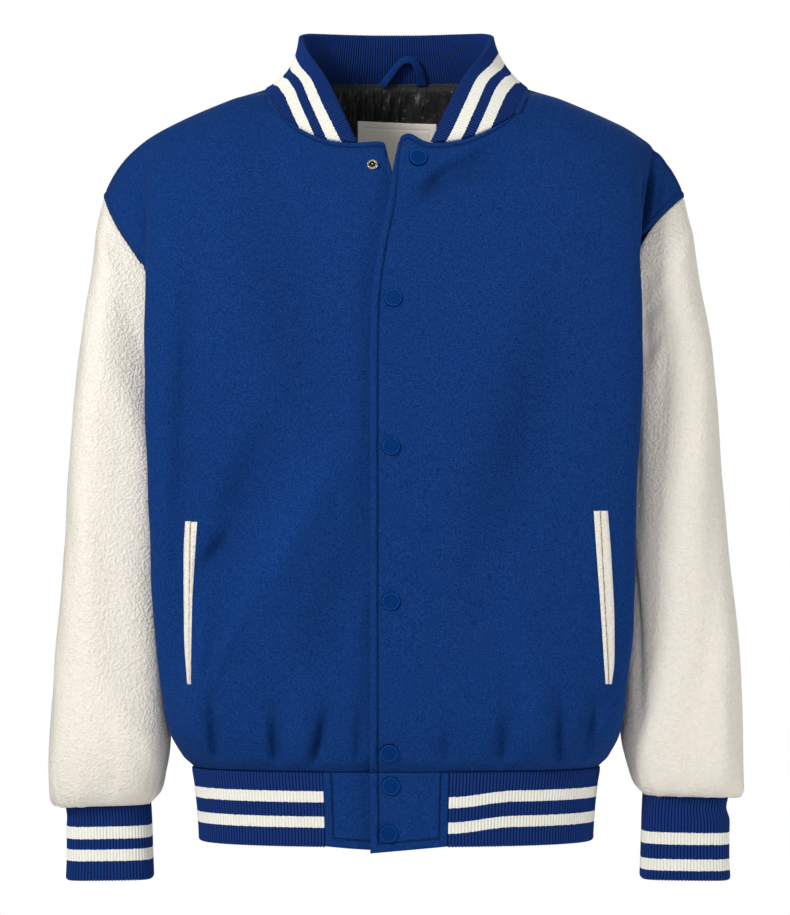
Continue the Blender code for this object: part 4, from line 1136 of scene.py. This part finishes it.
def waistband(side, back, q, v):
    """Points of the waistband: v is 0 at its lower edge and 1 at the hem seam."""
    points = section(WAISTBAND, back, q, WAISTBAND_BOTTOM_Z + (HEM_Z - SEAM_GAP - WAISTBAND_BOTTOM_Z) * v)
    points[..., 0] = points[..., 0] * side + hem_shift(q, points[..., 2])
    return points


def round_the_waist(u, v):
    """Points of the rib from the right tab round the back to the left one: u is 1 and 3 at the side seams."""
    u, v = np.broadcast_arrays(np.asarray(u, float), np.asarray(v, float))
    right_start, left_start = waist_q(-RIGHT_TAB_END_X), waist_q(LEFT_TAB_END_X)
    quarters = (
        waistband(-1, False, np.clip(right_start + (1 - right_start) * u, 0, 1), v),
        waistband(-1, True, np.clip(2 - u, 0, 1), v),
        waistband(1, True, np.clip(u - 2, 0, 1), v),
        waistband(1, False, np.clip(1 - (1 - left_start) * (u - 3), 0, 1), v),
    )
    return np.select([(u < end)[..., None] for end in (1, 2, 3)], quarters[:3], quarters[3])


waist_length = HEM_Z - WAISTBAND_BOTTOM_Z
rows = rib_loop(waist_length, 20, 5)
around, rib_at, run = rib_columns(lambda u: round_the_waist(u, 0.4), 0, 4)
u, v = np.meshgrid(around, rows[0] / waist_length, indexing="ij")
face = round_the_waist(u, v)
outward = unit(np.cross(np.gradient(round_the_waist(around, 0.4), axis=0), UP))[:, None]
lowered = STRIPE_DROP * ease((0.115 - face[:, 0, 0]) / 0.06) * (around > 3)
finish = rib_finish_of("waist_rib", WAIST_STRIPES)
band = ribbed("rib_waistband", face, -outward, rows, finish, rib_at, run, drop=lowered)
put_in_place(band, "waistband_rib")

# The waist tabs: squares of the same wool that end the waistband at the front. The left one snaps over
# the right one, and both are topstitched all round.
TAB_STITCH = 0.0082
TAB_STEP = 0.003
TAB_LINES = np.array((0, 0.6, 1.3, 2.2, 3.3, 4.5, 5.8, 6.8, 7.6, 8.3, 8.9, 9.6, 10.5, 12.0)) / 1000
LEFT_TAB_DROP = 0.0065
RIGHT_TAB_DROP = 0.0035


def tab(x, v, under):
    """Points of a waist tab at x: under is True for the right tab, which lies below the left one."""
    x, v = np.broadcast_arrays(np.asarray(x, float), np.asarray(v, float))
    q = FOLD_AT * 2 / math.pi * np.arcsin(x / WAISTBAND[1].fold_x)
    points = waistband(1, False, q, v)
    end, drop = (RIGHT_TAB_END_X, RIGHT_TAB_DROP) if under else (LEFT_TAB_END_X, LEFT_TAB_DROP)
    from_end = (end - x) / (end - FRONT_EDGES[0].left)
    points[..., 2] -= drop * (1 - v) * np.minimum(from_end, 2 - from_end)
    if under:
        points[..., 1] += under_overlap(points)
    return points


def lines_between(first, last, fine, pitch):
    """Values from first to last: fine steps in from both ends, a pitch apart between them."""
    middle = np.arange(first + fine[-1] + pitch, last - fine[-1] - pitch / 2, pitch)
    return np.concatenate([first + fine, middle, last - fine[::-1]])


tab_heights = lines_between(0, waist_length, TAB_LINES, TAB_STEP) / waist_length
for name, under, start, end in (
    ("left", False, float(curve(FRONT_EDGES, "z", "left", HEM_Z)), LEFT_TAB_END_X),
    ("right", True, RIGHT_TAB_END_X, float(curve(FRONT_EDGES, "z", "right", HEM_Z))),
):
    x, v = np.meshgrid(lines_between(start, end, TAB_LINES, TAB_STEP), tab_heights, indexing="ij")
    points = tab(x, v, under)
    *open_sides, from_seam = insets_of(points)
    inset = np.minimum.reduce(open_sides)
    relief = edge_shape(inset, TAB_STITCH) + seam_shape(from_seam)
    relief += drift(points[..., 0], points[..., 1], points[..., 2], 0.03, 3.0) * 0.0002
    outward = normals_of(points)
    # Its stitch line is made darker: darker thread, with shade painted into its groove
    piece = sheet_piece(
        f"wool_tab_{name}", points + outward * relief[..., None], flat_of(points), [wool_finish],
        inside=points - outward * WOOL, stitched=stitch_line(inset, TAB_STITCH),
    )
    put_in_place(piece, f"waist_tab_{name}")

# The collar: a stand of the same rib folded double, wide behind the neck and tapering to nothing at the
# front, where the neckline cuts across its stripes. Its ribs run straight down from the folded edge.
CollarEdge = namedtuple("CollarEdge", "along x y z")
COLLAR_EDGE = (
    CollarEdge(0.00, 0.0000, 0.0600, 0.0635),
    CollarEdge(0.08, 0.0178, 0.0596, 0.0635),
    CollarEdge(0.22, 0.0485, 0.0530, 0.0635),
    CollarEdge(0.40, 0.0845, 0.0300, 0.0625),
    CollarEdge(0.50, 0.0965, 0.0060, 0.0578),
    CollarEdge(0.60, 0.0895, -0.0280, 0.0420),
    CollarEdge(0.72, 0.0715, -0.0520, 0.0175),
    CollarEdge(0.84, 0.0555, -0.0660, -0.0100),
    CollarEdge(0.94, 0.0428, -0.0748, -0.0362),
    CollarEdge(1.00, 0.0358, -0.0776, -0.0504),
)
COLLAR_TIP_AT = 2 / math.pi * math.asin(COLLAR_EDGE[-1].x / NECK_HALF_WIDTH)
COLLAR_SWELL = 0.0025
COLLAR_STAND = {-1: 2.9, 1: 2.1}
COLLAR_FOOT = 0.0035
COLLAR_REACH = 0.0034
COLLAR_TUCK = 0.0032
COLLAR_TUCK_ABOVE = 0.0012
SEAM_SEARCH = 0.22
COLLAR_STRIPES = ((0.0190, 0.0310), (0.0420, 0.0540))

# How much nearer the folded edge the stripes run at each place along the collar, as the rib tapers
STRIPES_DRAWN_IN = {
    -1: ((0.5, 0.0), (0.6, 0.0005), (0.73, 0.0012), (0.90, 0.0045), (1.0, 0.0062)),
    1: ((0.5, 0.002), (0.6, 0.0045), (0.73, 0.0060), (0.93, 0.0056), (1.0, 0.0064)),
}


def neckline(along):
    """Points of the neckline: along is 0 at the centre back, 0.5 at the shoulder seam and 1 at the collar's
    tip, and under 0 on the wearer's right."""
    at = np.abs(along)
    behind = top_line(True, NECK_AT * np.minimum(at, 0.5) * 2)
    ahead = top_line(False, NECK_AT * (1 + (COLLAR_TIP_AT - 1) * (np.maximum(at, 0.5) - 0.5) * 2))
    points = np.where((at <= 0.5)[..., None], behind, ahead)
    points[..., 0] *= np.sign(along)
    return points


def collar_edge(along):
    """Points of the collar's folded edge."""
    points = np.stack([curve(COLLAR_EDGE, "along", axis, np.abs(along)) for axis in ("x", "y", "z")], -1)
    points[..., 0] *= np.sign(along)
    return points


def out_from_neck(points):
    """Level directions from the middle of the neck out through points."""
    return unit(np.stack(np.broadcast_arrays(points[..., 0], points[..., 1] - NECK_MID_Y, 0.0), -1))


def smoothed(values, rounds):
    """Values along a line, drawn towards their neighbours a number of times, in place: the ends stay."""
    for _ in range(rounds):
        values[1:-1] = (values[:-2] + 2 * values[1:-1] + values[2:]) / 4
    return values


def collar_face(along, edge, seam, share):
    """Points of the collar's outer face: share is 0 at its folded edge and 1 at the neckline. It stands up
    from the edge and flares out towards the shoulders."""
    stand = COLLAR_STAND[-1] + (COLLAR_STAND[1] - COLLAR_STAND[-1]) * ease((along + 0.4) / 0.8)
    bend = 1 + (stand - 1) * ease((0.86 - np.abs(along)) / 0.26)
    level = (share**bend)[..., None]
    points = edge + (seam - edge) * np.concatenate([level, level, share[..., None]], -1)
    at_seam = COLLAR_REACH * bell(np.abs(along), 0.5, 0.12) * share**3
    swell = COLLAR_SWELL * np.sin(math.pi * np.clip(share, 0, 1)) + at_seam
    return points + out_from_neck(seam) * swell[..., None]


columns, rib_at, run = rib_columns(collar_edge, -1, 1, NECK_RIB_PITCH)
edge = collar_edge(columns)
towards = smoothed(np.gradient(edge, axis=0), 3)

# Each rib ends where it meets the neckline square to the folded edge, found among close places on it
candidates = np.linspace(-1, 1, 4001)
seam_points = neckline(candidates)
seam_at = np.empty_like(columns)
for i, (point, direction) in enumerate(zip(edge, towards)):
    near = np.abs(candidates - columns[i]) < SEAM_SEARCH
    ahead_of = np.maximum.accumulate((seam_points[near] - point) @ direction)
    seam_at[i] = np.interp(0, ahead_of, candidates[near])
seam = neckline(smoothed(np.maximum.accumulate(seam_at), 12))

width = np.linalg.norm(seam - edge, axis=-1)
_, depth, angle = rib_loop(1.0, 30, 8)
fold = RIB / 2
outer = angle == 0
turned_over = fold - fold * np.sin(angle[(angle > 0) & (angle < 3)])
lengths = np.maximum(width, 2.5 * fold)[:, None]
heights = np.concatenate([
    fold + np.linspace(1, 0, outer.sum()) * (lengths + COLLAR_FOOT - fold),
    np.broadcast_to(turned_over, (len(width), len(turned_over))),
    fold + np.linspace(0, 1, (depth == RIB).sum()) * (lengths - fold),
], axis=1)
face = collar_face(columns[:, None], edge[:, None], seam[:, None], heights / lengths)
down = (seam - edge) / np.maximum(width, 1e-6)[:, None]
outward = unit(np.cross(towards, -down))
outward *= np.sign(np.sum(outward * out_from_neck(seam), axis=-1, keepdims=True))
outward = unit(smoothed(outward, 12))[:, None]
facing = outward * np.cos(angle)[None, :, None] - down[:, None] * np.sin(angle)[None, :, None]
tuck = COLLAR_TUCK * ease((heights - lengths + COLLAR_TUCK_ABOVE) / (COLLAR_FOOT + COLLAR_TUCK_ABOVE)) * outer
points = face - outward * (depth + tuck)[..., None] + facing * (rib_at[:, None] * RIB_HEIGHT)[..., None]
points = np.concatenate([points, points[:, -1:], points[:, :1]], axis=1)

along_face = run_along(face[:, outer], 1, from_end=True) + fold
drawn_in = smoothed(np.where(
    columns < 0,
    np.interp(np.abs(columns), *zip(*STRIPES_DRAWN_IN[-1])),
    np.interp(np.abs(columns), *zip(*STRIPES_DRAWN_IN[1])),
), 600)
stripe_v = np.concatenate([
    along_face + drawn_in[:, None] * ease(along_face / 0.008),
    heights[:, ~outer] * np.where(angle[~outer] > 2, -1, 1),
    np.full_like(along_face[:, :1], RIB_PLAIN),
    along_face[:, :1],
], axis=1)
flat_place = np.stack(np.broadcast_arrays(run[:, None], stripe_v), -1)
finish = rib_finish_of("neck_rib", COLLAR_STRIPES, NECK_RIB_PITCH)
collar = sheet_piece("rib_collar", points, flat_place, [finish], closed=True, flip=True)
put_in_place(collar, "collar_rib")

# The pocket welts: two strips of the sleeve's leather-look cloth a side, each folded over, sewn down
# along its outer edge and meeting its neighbour at the pocket's opening line. They narrow downwards.
WELT_THICKNESS = 0.0016
WELT_CLEARANCE = 0.0004
WELT_ROWS = 110
WELT_COLUMNS = 13
WELT_STITCH_PITCH = 0.0030
WELT_STEP = 0.008

# Each strip: its side of the jacket, its side of the opening, its flat area, and the opening line from top
# to bottom as x, z and the strip's width there
WELTS = {
    "left_side": (1, 1, 0.00155, (
        (0.1975, -0.4040, 0.0078), (0.1990, -0.4400, 0.0090), (0.2012, -0.5000, 0.0088),
        (0.2035, -0.5500, 0.0062), (0.2040, -0.5690, 0.0030),
    )),
    "left_front": (1, -1, 0.00100, (
        (0.1972, -0.4040, 0.0066), (0.1987, -0.4400, 0.0056), (0.2009, -0.5000, 0.0040),
        (0.2032, -0.5500, 0.0032), (0.2036, -0.5690, 0.0022),
    )),
    "right_side": (-1, 1, 0.00100, (
        (-0.1925, -0.4140, 0.0056), (-0.1933, -0.4400, 0.0064), (-0.1938, -0.4800, 0.0058),
        (-0.1938, -0.5300, 0.0050), (-0.1936, -0.5685, 0.0022),
    )),
    "right_front": (-1, -1, 0.00064, (
        (-0.1922, -0.4145, 0.0056), (-0.1930, -0.4400, 0.0044), (-0.1935, -0.4800, 0.0024),
        (-0.1935, -0.5300, 0.0015), (-0.1933, -0.5685, 0.0010),
    )),
}


def place_on(surface, x, z, a, b):
    """The point and normal where a surface passes through x and z, found by Newton steps from a and b."""
    step = 0.001
    for _ in range(14):
        point, beside, above = surface(np.array((a, a + step, a)), np.array((b, b, b + step)))
        da, db = (beside - point) / step, (above - point) / step
        error_x, error_z = x - point[0], z - point[2]
        determinant = da[0] * db[2] - db[0] * da[2]
        a += (error_x * db[2] - db[0] * error_z) / determinant
        b += (da[0] * error_z - error_x * da[2]) / determinant
    return point, unit(np.cross(da, db))


def along_route(route, count, column):
    """A column of a list of tuples at even steps, on a smooth line through them."""
    knots = np.arange(len(route))
    values = np.interp(np.linspace(0, len(route) - 1, count), knots, [row[column] for row in route])
    return smoothed(values, count // 4)


def on_front(side, way, x, z):
    """A point of an opening line on a front: its place, normal, way across and how the normal turns."""
    place, normal = place_on(partial(front_face, side), x, z, 0.5, 0.4)
    beyond, beyond_normal = place_on(partial(front_face, side), x + side * way * WELT_STEP, z, 0.5, 0.4)
    return place, normal * side, (beyond - place) / WELT_STEP, (beyond_normal - normal) * side / WELT_STEP


for name, (side, way, area, route) in WELTS.items():
    line_x, line_z, width = (along_route(route, WELT_ROWS, column) for column in range(3))
    known_rows = [*range(0, WELT_ROWS, 10), WELT_ROWS - 1]
    known = np.array([on_front(side, way, line_x[row], line_z[row]) for row in known_rows])
    base, normal, across, turning = (
        np.stack([np.interp(np.arange(WELT_ROWS), known_rows, part[:, axis]) for axis in range(3)], -1)
        for part in np.moveaxis(known, 1, 0)
    )
    base[:, 2] = line_z
    from_top = line_z.max() - line_z
    length = from_top.max()
    end_distance = np.minimum(from_top, length - from_top)
    stitches = 0.5 + 0.5 * np.cos(2 * math.pi * from_top / WELT_STITCH_PITCH)
    shares = np.linspace(0, 1, WELT_COLUMNS)[:, None]
    inward = shares * width
    pillow = WELT_THICKNESS * (1 - 0.55 * (2 * shares - 0.9) ** 2 * shares)
    pillow = pillow - 0.0009 * bell(inward, 0, 0.0005)
    pillow -= (0.0004 + 0.0007 * stitches) * bell(width - inward, 0.0006, 0.0006)
    pillow -= 0.0008 * bell(end_distance, 0, 0.0010)
    pillow = WELT_CLEARANCE + np.maximum(pillow, 0.0003)
    points = base + across * inward[..., None] + (normal + turning * inward[..., None]) * pillow[..., None]
    under = base + across * inward[..., None] - normal * WELT_CLEARANCE
    # A tan shadow painted along the opening line, fainter towards the bottom on the wearer's right
    painted_opening_shadow_strength = np.interp(from_top / length, (0, 0.25, 1), (0.8, 0.75, 0.15 if side < 0 else 0.7))
    line = bell(inward, 0, 0.0006) * painted_opening_shadow_strength
    points, under, line = points[:, ::-1], under[:, ::-1], line[:, ::-1]
    strip = sheet_piece(
        f"leather_welt_{name}", points, flat_of(points), [leather_finish],
        flip=side * way < 0, inside=under, stitched=line,
    )
    put_in_place(strip, f"welt_{name}")

# The neck lining: black satin gathered into a band below the back of the collar. The label is a bare
# rectangle of taupe woven cloth with a stitched border, and the hanger loop a rolled strip of the wool.
LINING_HALF_WIDTH_Q = 0.225
LINING_BOTTOM_V = 1.45
LINING_TOP_V = 1.98
LINING_DEPTH = 0.0057
PLEAT_HEIGHT = 0.0019
BAND_STITCH_AT, BAND_STITCH_DEPTH = 0.040, 0.0006
RUCHE_HEIGHT = 0.0003
LINING_LIFT = 0.0108
LINING_FORWARD = 0.0072
SATIN = 0.001
LABEL_DEPTH = 0.0096
LABEL_THICKNESS = 0.0010
LABEL_MID_X = 0.0032
LABEL_HALF_WIDTH = 0.0391
LABEL_TOP_Z = -0.0196
LABEL_BOTTOM_Z = -0.0800
LABEL_BORDER = 0.0068
LABEL_TILT = 0.043
LABEL_SMOOTHING = 60


def inside_back(q, v, depth):
    """Points inside the back, at a depth below its outer face."""
    step = 0.002
    along_q = back_face(q + step, v) - back_face(q - step, v)
    along_v = back_face(q, v + step) - back_face(q, v - step)
    return back_face(q, v) + unit(np.cross(along_q, along_v)) * np.asarray(depth)[..., None]


q, v = np.meshgrid(
    np.linspace(-LINING_HALF_WIDTH_Q, LINING_HALF_WIDTH_Q, 320),
    np.linspace(LINING_BOTTOM_V, LINING_TOP_V, 84),
    indexing="ij",
)
below = (LINING_TOP_V - v) / (LINING_TOP_V - LINING_BOTTOM_V)
slant = q * 300 + 22 * below * np.sin(q * 26 + 2) + 3.2 * np.sin(q * 41 + 1)
pleats = np.sin(slant) + 0.7 * np.sin(slant * 0.47 + 6 * below + 1)
pleats += 0.35 * np.sin(slant * 2.1 - 14 * below)
gathered = ease((below - 0.046) / 0.085) * (1 - 0.55 * ease((below - 0.24) / 0.14))
ruche = np.sin(q * 640 + 3 * np.sin(q * 110)) * (1 - ease((below - 0.035) / 0.05))
depth = LINING_DEPTH + pleats * PLEAT_HEIGHT * gathered
depth -= BAND_STITCH_DEPTH * bell(below, BAND_STITCH_AT, 0.007)
depth += RUCHE_HEIGHT * ruche * ease(below / 0.02)
lift = LINING_LIFT * UP - LINING_FORWARD * out_from_neck(back_face(q, v))
lift = lift * ease(1 - below / 0.24)[..., None]
points, under = (inside_back(q, v, deep) + lift for deep in (depth, depth - SATIN))
lining = sheet_piece(
    "satin_neck_lining", points, flat_of(points), [satin_finish],
    inside=under, stitched=1 - ease((below - 0.02) / 0.03),
)
put_in_place(lining, "neck_lining")

label_finish, label_shader = finish_of(
    "taupe_label", (0.40, 0.37, 0.335), 0.75, Specular_IOR_Level=0.25, Sheen_Weight=0.15
)
threads = noise_on(label_finish, Scale=1300.0, Detail=1.0)
taupes = tinted(label_finish, threads, (0.74, 0.69, 0.625), (0.84, 0.80, 0.73))
join(label_finish, taupes, label_shader.inputs["Base Color"])
join(label_finish, embossed(label_finish, threads, 0.35, 0.0003), label_shader.inputs["Normal"])

below_lining = inside_back(q, v, np.full_like(q, LABEL_DEPTH))
fine_x = np.linspace(LABEL_MID_X - LABEL_HALF_WIDTH, LABEL_MID_X + LABEL_HALF_WIDTH, 90)
fine_z = np.linspace(LABEL_BOTTOM_Z, LABEL_TOP_Z, 70)
at_heights = np.stack([
    np.stack([np.interp(fine_z, column[:, 2], column[:, axis]) for axis in (0, 1)], -1)
    for column in below_lining
])
label_y = np.stack([
    np.interp(fine_x, at_heights[:, row, 0], at_heights[:, row, 1]) for row in range(len(fine_z))
], 1)
label_z = fine_z[None, :] - LABEL_TILT * (fine_x[:, None] - fine_x[0])
points = np.stack([*np.broadcast_arrays(fine_x[:, None], label_y, label_z)], -1)
for _ in range(LABEL_SMOOTHING):
    smoothed(points[..., 1], 1)
    smoothed(points[..., 1].T, 1)
inset = np.minimum.reduce(insets_of(points))
relief = -0.0008 * bell(inset, LABEL_BORDER, 0.0008) - 0.0003 * bell(inset, 0, 0.0007)
relief += 0.0006 * np.sin(points[..., 0] * 60 + points[..., 2] * 35)
inward = normals_of(points)
label = sheet_piece(
    "neck_label_cloth", points + inward * relief[..., None], flat_of(points), [label_finish],
    inside=points - inward * LABEL_THICKNESS,
)
put_in_place(label, "neck_label")

# The hanger loop: both ends are sewn in below the collar
LOOP_THICKNESS = 0.0058
LOOP_CLEARANCE = 0.0026
LOOP_FACING = np.array((0, -0.93, 0.36))
COLLAR_BACK_CURVE = 2.7

# The loop's route as x, z and half width
LOOP_ROUTE = (
    (-0.0112, 0.0138, 0.0042), (-0.0100, 0.0165, 0.0042), (-0.0058, 0.0215, 0.0039),
    (0.0015, 0.0312, 0.0038), (0.0075, 0.0376, 0.0038), (0.0138, 0.0398, 0.0040),
    (0.0200, 0.0374, 0.0043), (0.0246, 0.0310, 0.0046), (0.0272, 0.0215, 0.0048),
    (0.0275, 0.0165, 0.0052), (0.0274, 0.0138, 0.0054),
)
collar_back = collar_edge(np.zeros(1))
neck_back = neckline(np.zeros(1))
x, z, half_width = (along_route(LOOP_ROUTE, 90, column) for column in range(3))
down_share = (collar_back[0, 2] - z) / (collar_back[0, 2] - neck_back[0, 2])
y = collar_face(np.zeros_like(z), collar_back, neck_back, down_share)[:, 1]
y -= COLLAR_BACK_CURVE * x**2 + RIB + LOOP_CLEARANCE + LOOP_THICKNESS / 2
route = np.stack([x, y, z], -1)
beside = unit(np.cross(unit(np.gradient(route, axis=0)), LOOP_FACING))
turns = np.linspace(0, 2 * math.pi, 25)
bulge = np.abs(np.cos(turns)) ** 0.8 * np.sign(np.cos(turns))
points = (
    route[None] + beside[None] * (bulge[:, None] * half_width[None])[..., None]
    + LOOP_FACING * (np.sin(turns) * LOOP_THICKNESS / 2)[:, None, None]
)
points[:, 0] = route[0]
points[:, -1] = route[-1]
points[-1] = points[0]
loop = sheet_piece("wool_hanger_loop", points, flat_of(points), [wool_finish], flip=True, closed=True)
put_in_place(loop, "hanger_loop")

# The snaps: seven blue enamelled caps on the left front and tab, and one stud, a beaded nickel ring with a
# dark socket, on the right front where the top snap is open.
CAP_RADIUS = 0.0087
CAP_HEIGHT = 0.0028
STUD_RADIUS = 0.0055
CAPS = (
    ("1", 0.0229, -0.0673), ("2", -0.0009, -0.2021), ("3", -0.0028, -0.3426), ("4", -0.0028, -0.4892),
    ("5", -0.0047, -0.6326), ("6", -0.0028, -0.6648), ("7", -0.0051, -0.7103),
)
STUD_PLACE = (-0.0207, -0.0740)

# Outlines from the middle out, as parts of the radius and the height. A cap's third value is over 0 where
# shade is painted on it, 1 round its foot, and under 0 where a highlight is painted on its rim
CAP_PROFILE = (
    (0, 0.90, 0), (0.40, 0.90, 0), (0.80, 0.89, 0), (0.835, 0.88, 0.25), (0.850, 0.84, 0.5),
    (0.865, 0.94, -3.0), (0.910, 0.94, -3.0), (0.930, 0.80, 0.6), (0.95, 0.55, 1),
    (1.0, 0.20, 1), (1.0, 0.0, 1), (0.90, -0.25, 1), (0, -0.25, 1),
)
STUD_PROFILE = (
    (0.50, 0.25), (0.56, 0.42), (0.64, 0.46), (0.92, 0.34), (1.0, 0.20), (1.0, -0.1), (0.5, -0.1),
    (0.50, 0.25),
)
SOCKET_PROFILE = (
    (0, 0.42), (0.10, 0.41), (0.22, 0.34), (0.30, 0.22), (0.40, 0.14), (0.52, 0.10), (0.52, -0.05),
    (0, -0.05),
)
BEADS = 16
BEAD_RADIUS, BEAD_STAND = 0.00078, 0.0021
BEAD_RING = 0.78 * STUD_RADIUS
MIDDLE_BEAD_RADIUS, MIDDLE_BEAD_STAND = 0.0010, 0.0022


def round_about(outward, turn):
    """Directions across a surface: turn is 0 level and a quarter turn straight up."""
    level = unit(np.cross(outward, UP))
    return np.cos(turn)[..., None] * level + np.sin(turn)[..., None] * np.cross(level, outward)


def turned(name, profile, radius, height, place, outward, material, turns=64):
    """A turned piece that stands on a surface, from its outline."""
    profile = np.array(profile)
    outline = profile[:, :2] * (radius, height)
    # A profile's third value paints shadow on the piece, or a highlight where it is under 0
    painted_shadow_and_highlight = np.repeat(profile[None, :, 2], turns + 1, axis=0) if profile.shape[1] > 2 else None
    ring = round_about(outward, np.linspace(0, 2 * math.pi, turns + 1))
    points = place + ring[:, None] * outline[None, :, :1] + outward * outline[None, :, 1:]
    points[-1] = points[0]
    return sheet_piece(name, points, flat_of(points), [material], closed=True, stitched=painted_shadow_and_highlight)


enamel_finish, enamel_shader = finish_of(
    "blue_enamel", (0.0015, 0.030, 0.140), 0.50, Specular_IOR_Level=0.03
)
mottle = noise_on(enamel_finish, Scale=700.0, Detail=2.0)
enamels = tinted(enamel_finish, mottle, (0.0004, 0.022, 0.112), (0.0008, 0.028, 0.132))
# Painted shadow round each cap's foot and a painted highlight on its rim
painted_rim_shadow_and_highlight = mapped(enamel_finish, stitches_and_painted_shading_of(enamel_finish), 1.0, 0.12, clamp=False)
join(enamel_finish, shaded(enamel_finish, enamels, painted_rim_shadow_and_highlight), enamel_shader.inputs["Base Color"])

nickel_finish, nickel_shader = finish_of("antique_nickel", (0.52, 0.48, 0.40), 0.28, Metallic=1.0)
tarnish = noise_on(nickel_finish, Scale=500.0, Detail=3.0)
nickels = tinted(nickel_finish, tarnish, (0.34, 0.30, 0.23), (0.72, 0.68, 0.60))
join(nickel_finish, nickels, nickel_shader.inputs["Base Color"])

socket_finish, socket_shader = finish_of("dark_socket", (0.015, 0.014, 0.013), 0.18, Metallic=0.6)
soot = noise_on(socket_finish, Scale=900.0)
darks = tinted(socket_finish, soot, (0.010, 0.009, 0.008), (0.030, 0.027, 0.024))
join(socket_finish, darks, socket_shader.inputs["Base Color"])

for number, x, z in CAPS:
    if z > HEM_Z:
        start = (z - HEM_Z) / (UNDERARM_Z - HEM_Z)
        place, outward = place_on(partial(front_face, 1), x, z, 0.1, min(start, 1.5))
    else:
        place, outward = place_on(partial(tab, under=False), x, z, x, 0.5)
    cap = turned(f"enamel_cap_{number}", CAP_PROFILE, CAP_RADIUS, CAP_HEIGHT, place, outward, enamel_finish)
    put_in_place(cap, f"snap_cap_{number}")

place, inward = place_on(partial(front_face, -1), *STUD_PLACE, 0.05, 1.7)
stud = turned("nickel_stud", STUD_PROFILE, STUD_RADIUS, STUD_RADIUS, place, -inward, nickel_finish)
socket = turned("stud_socket", SOCKET_PROFILE, STUD_RADIUS, STUD_RADIUS, place, -inward, socket_finish)
ring = round_about(-inward, np.arange(BEADS) * 2 * math.pi / BEADS)
spots = [(spot, BEAD_RADIUS) for spot in place - inward * BEAD_STAND + ring * BEAD_RING]
spots.append((place - inward * MIDDLE_BEAD_STAND, MIDDLE_BEAD_RADIUS))
bead_mesh = bmesh.new()
for spot, radius in spots:
    bead = bmesh.ops.create_icosphere(bead_mesh, subdivisions=2, radius=radius)
    bmesh.ops.translate(bead_mesh, verts=bead["verts"], vec=tuple(spot))
bead_data = bpy.data.meshes.new("stud_beads")
bead_mesh.to_mesh(bead_data)
bead_mesh.free()
bead_data.shade_smooth()
bead_data.materials.append(nickel_finish)
beads = bpy.data.objects.new("stud_beads", bead_data)
scene.collection.objects.link(beads)
for piece in (stud, socket, beads):
    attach(piece, "root")
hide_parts("snap_stud")
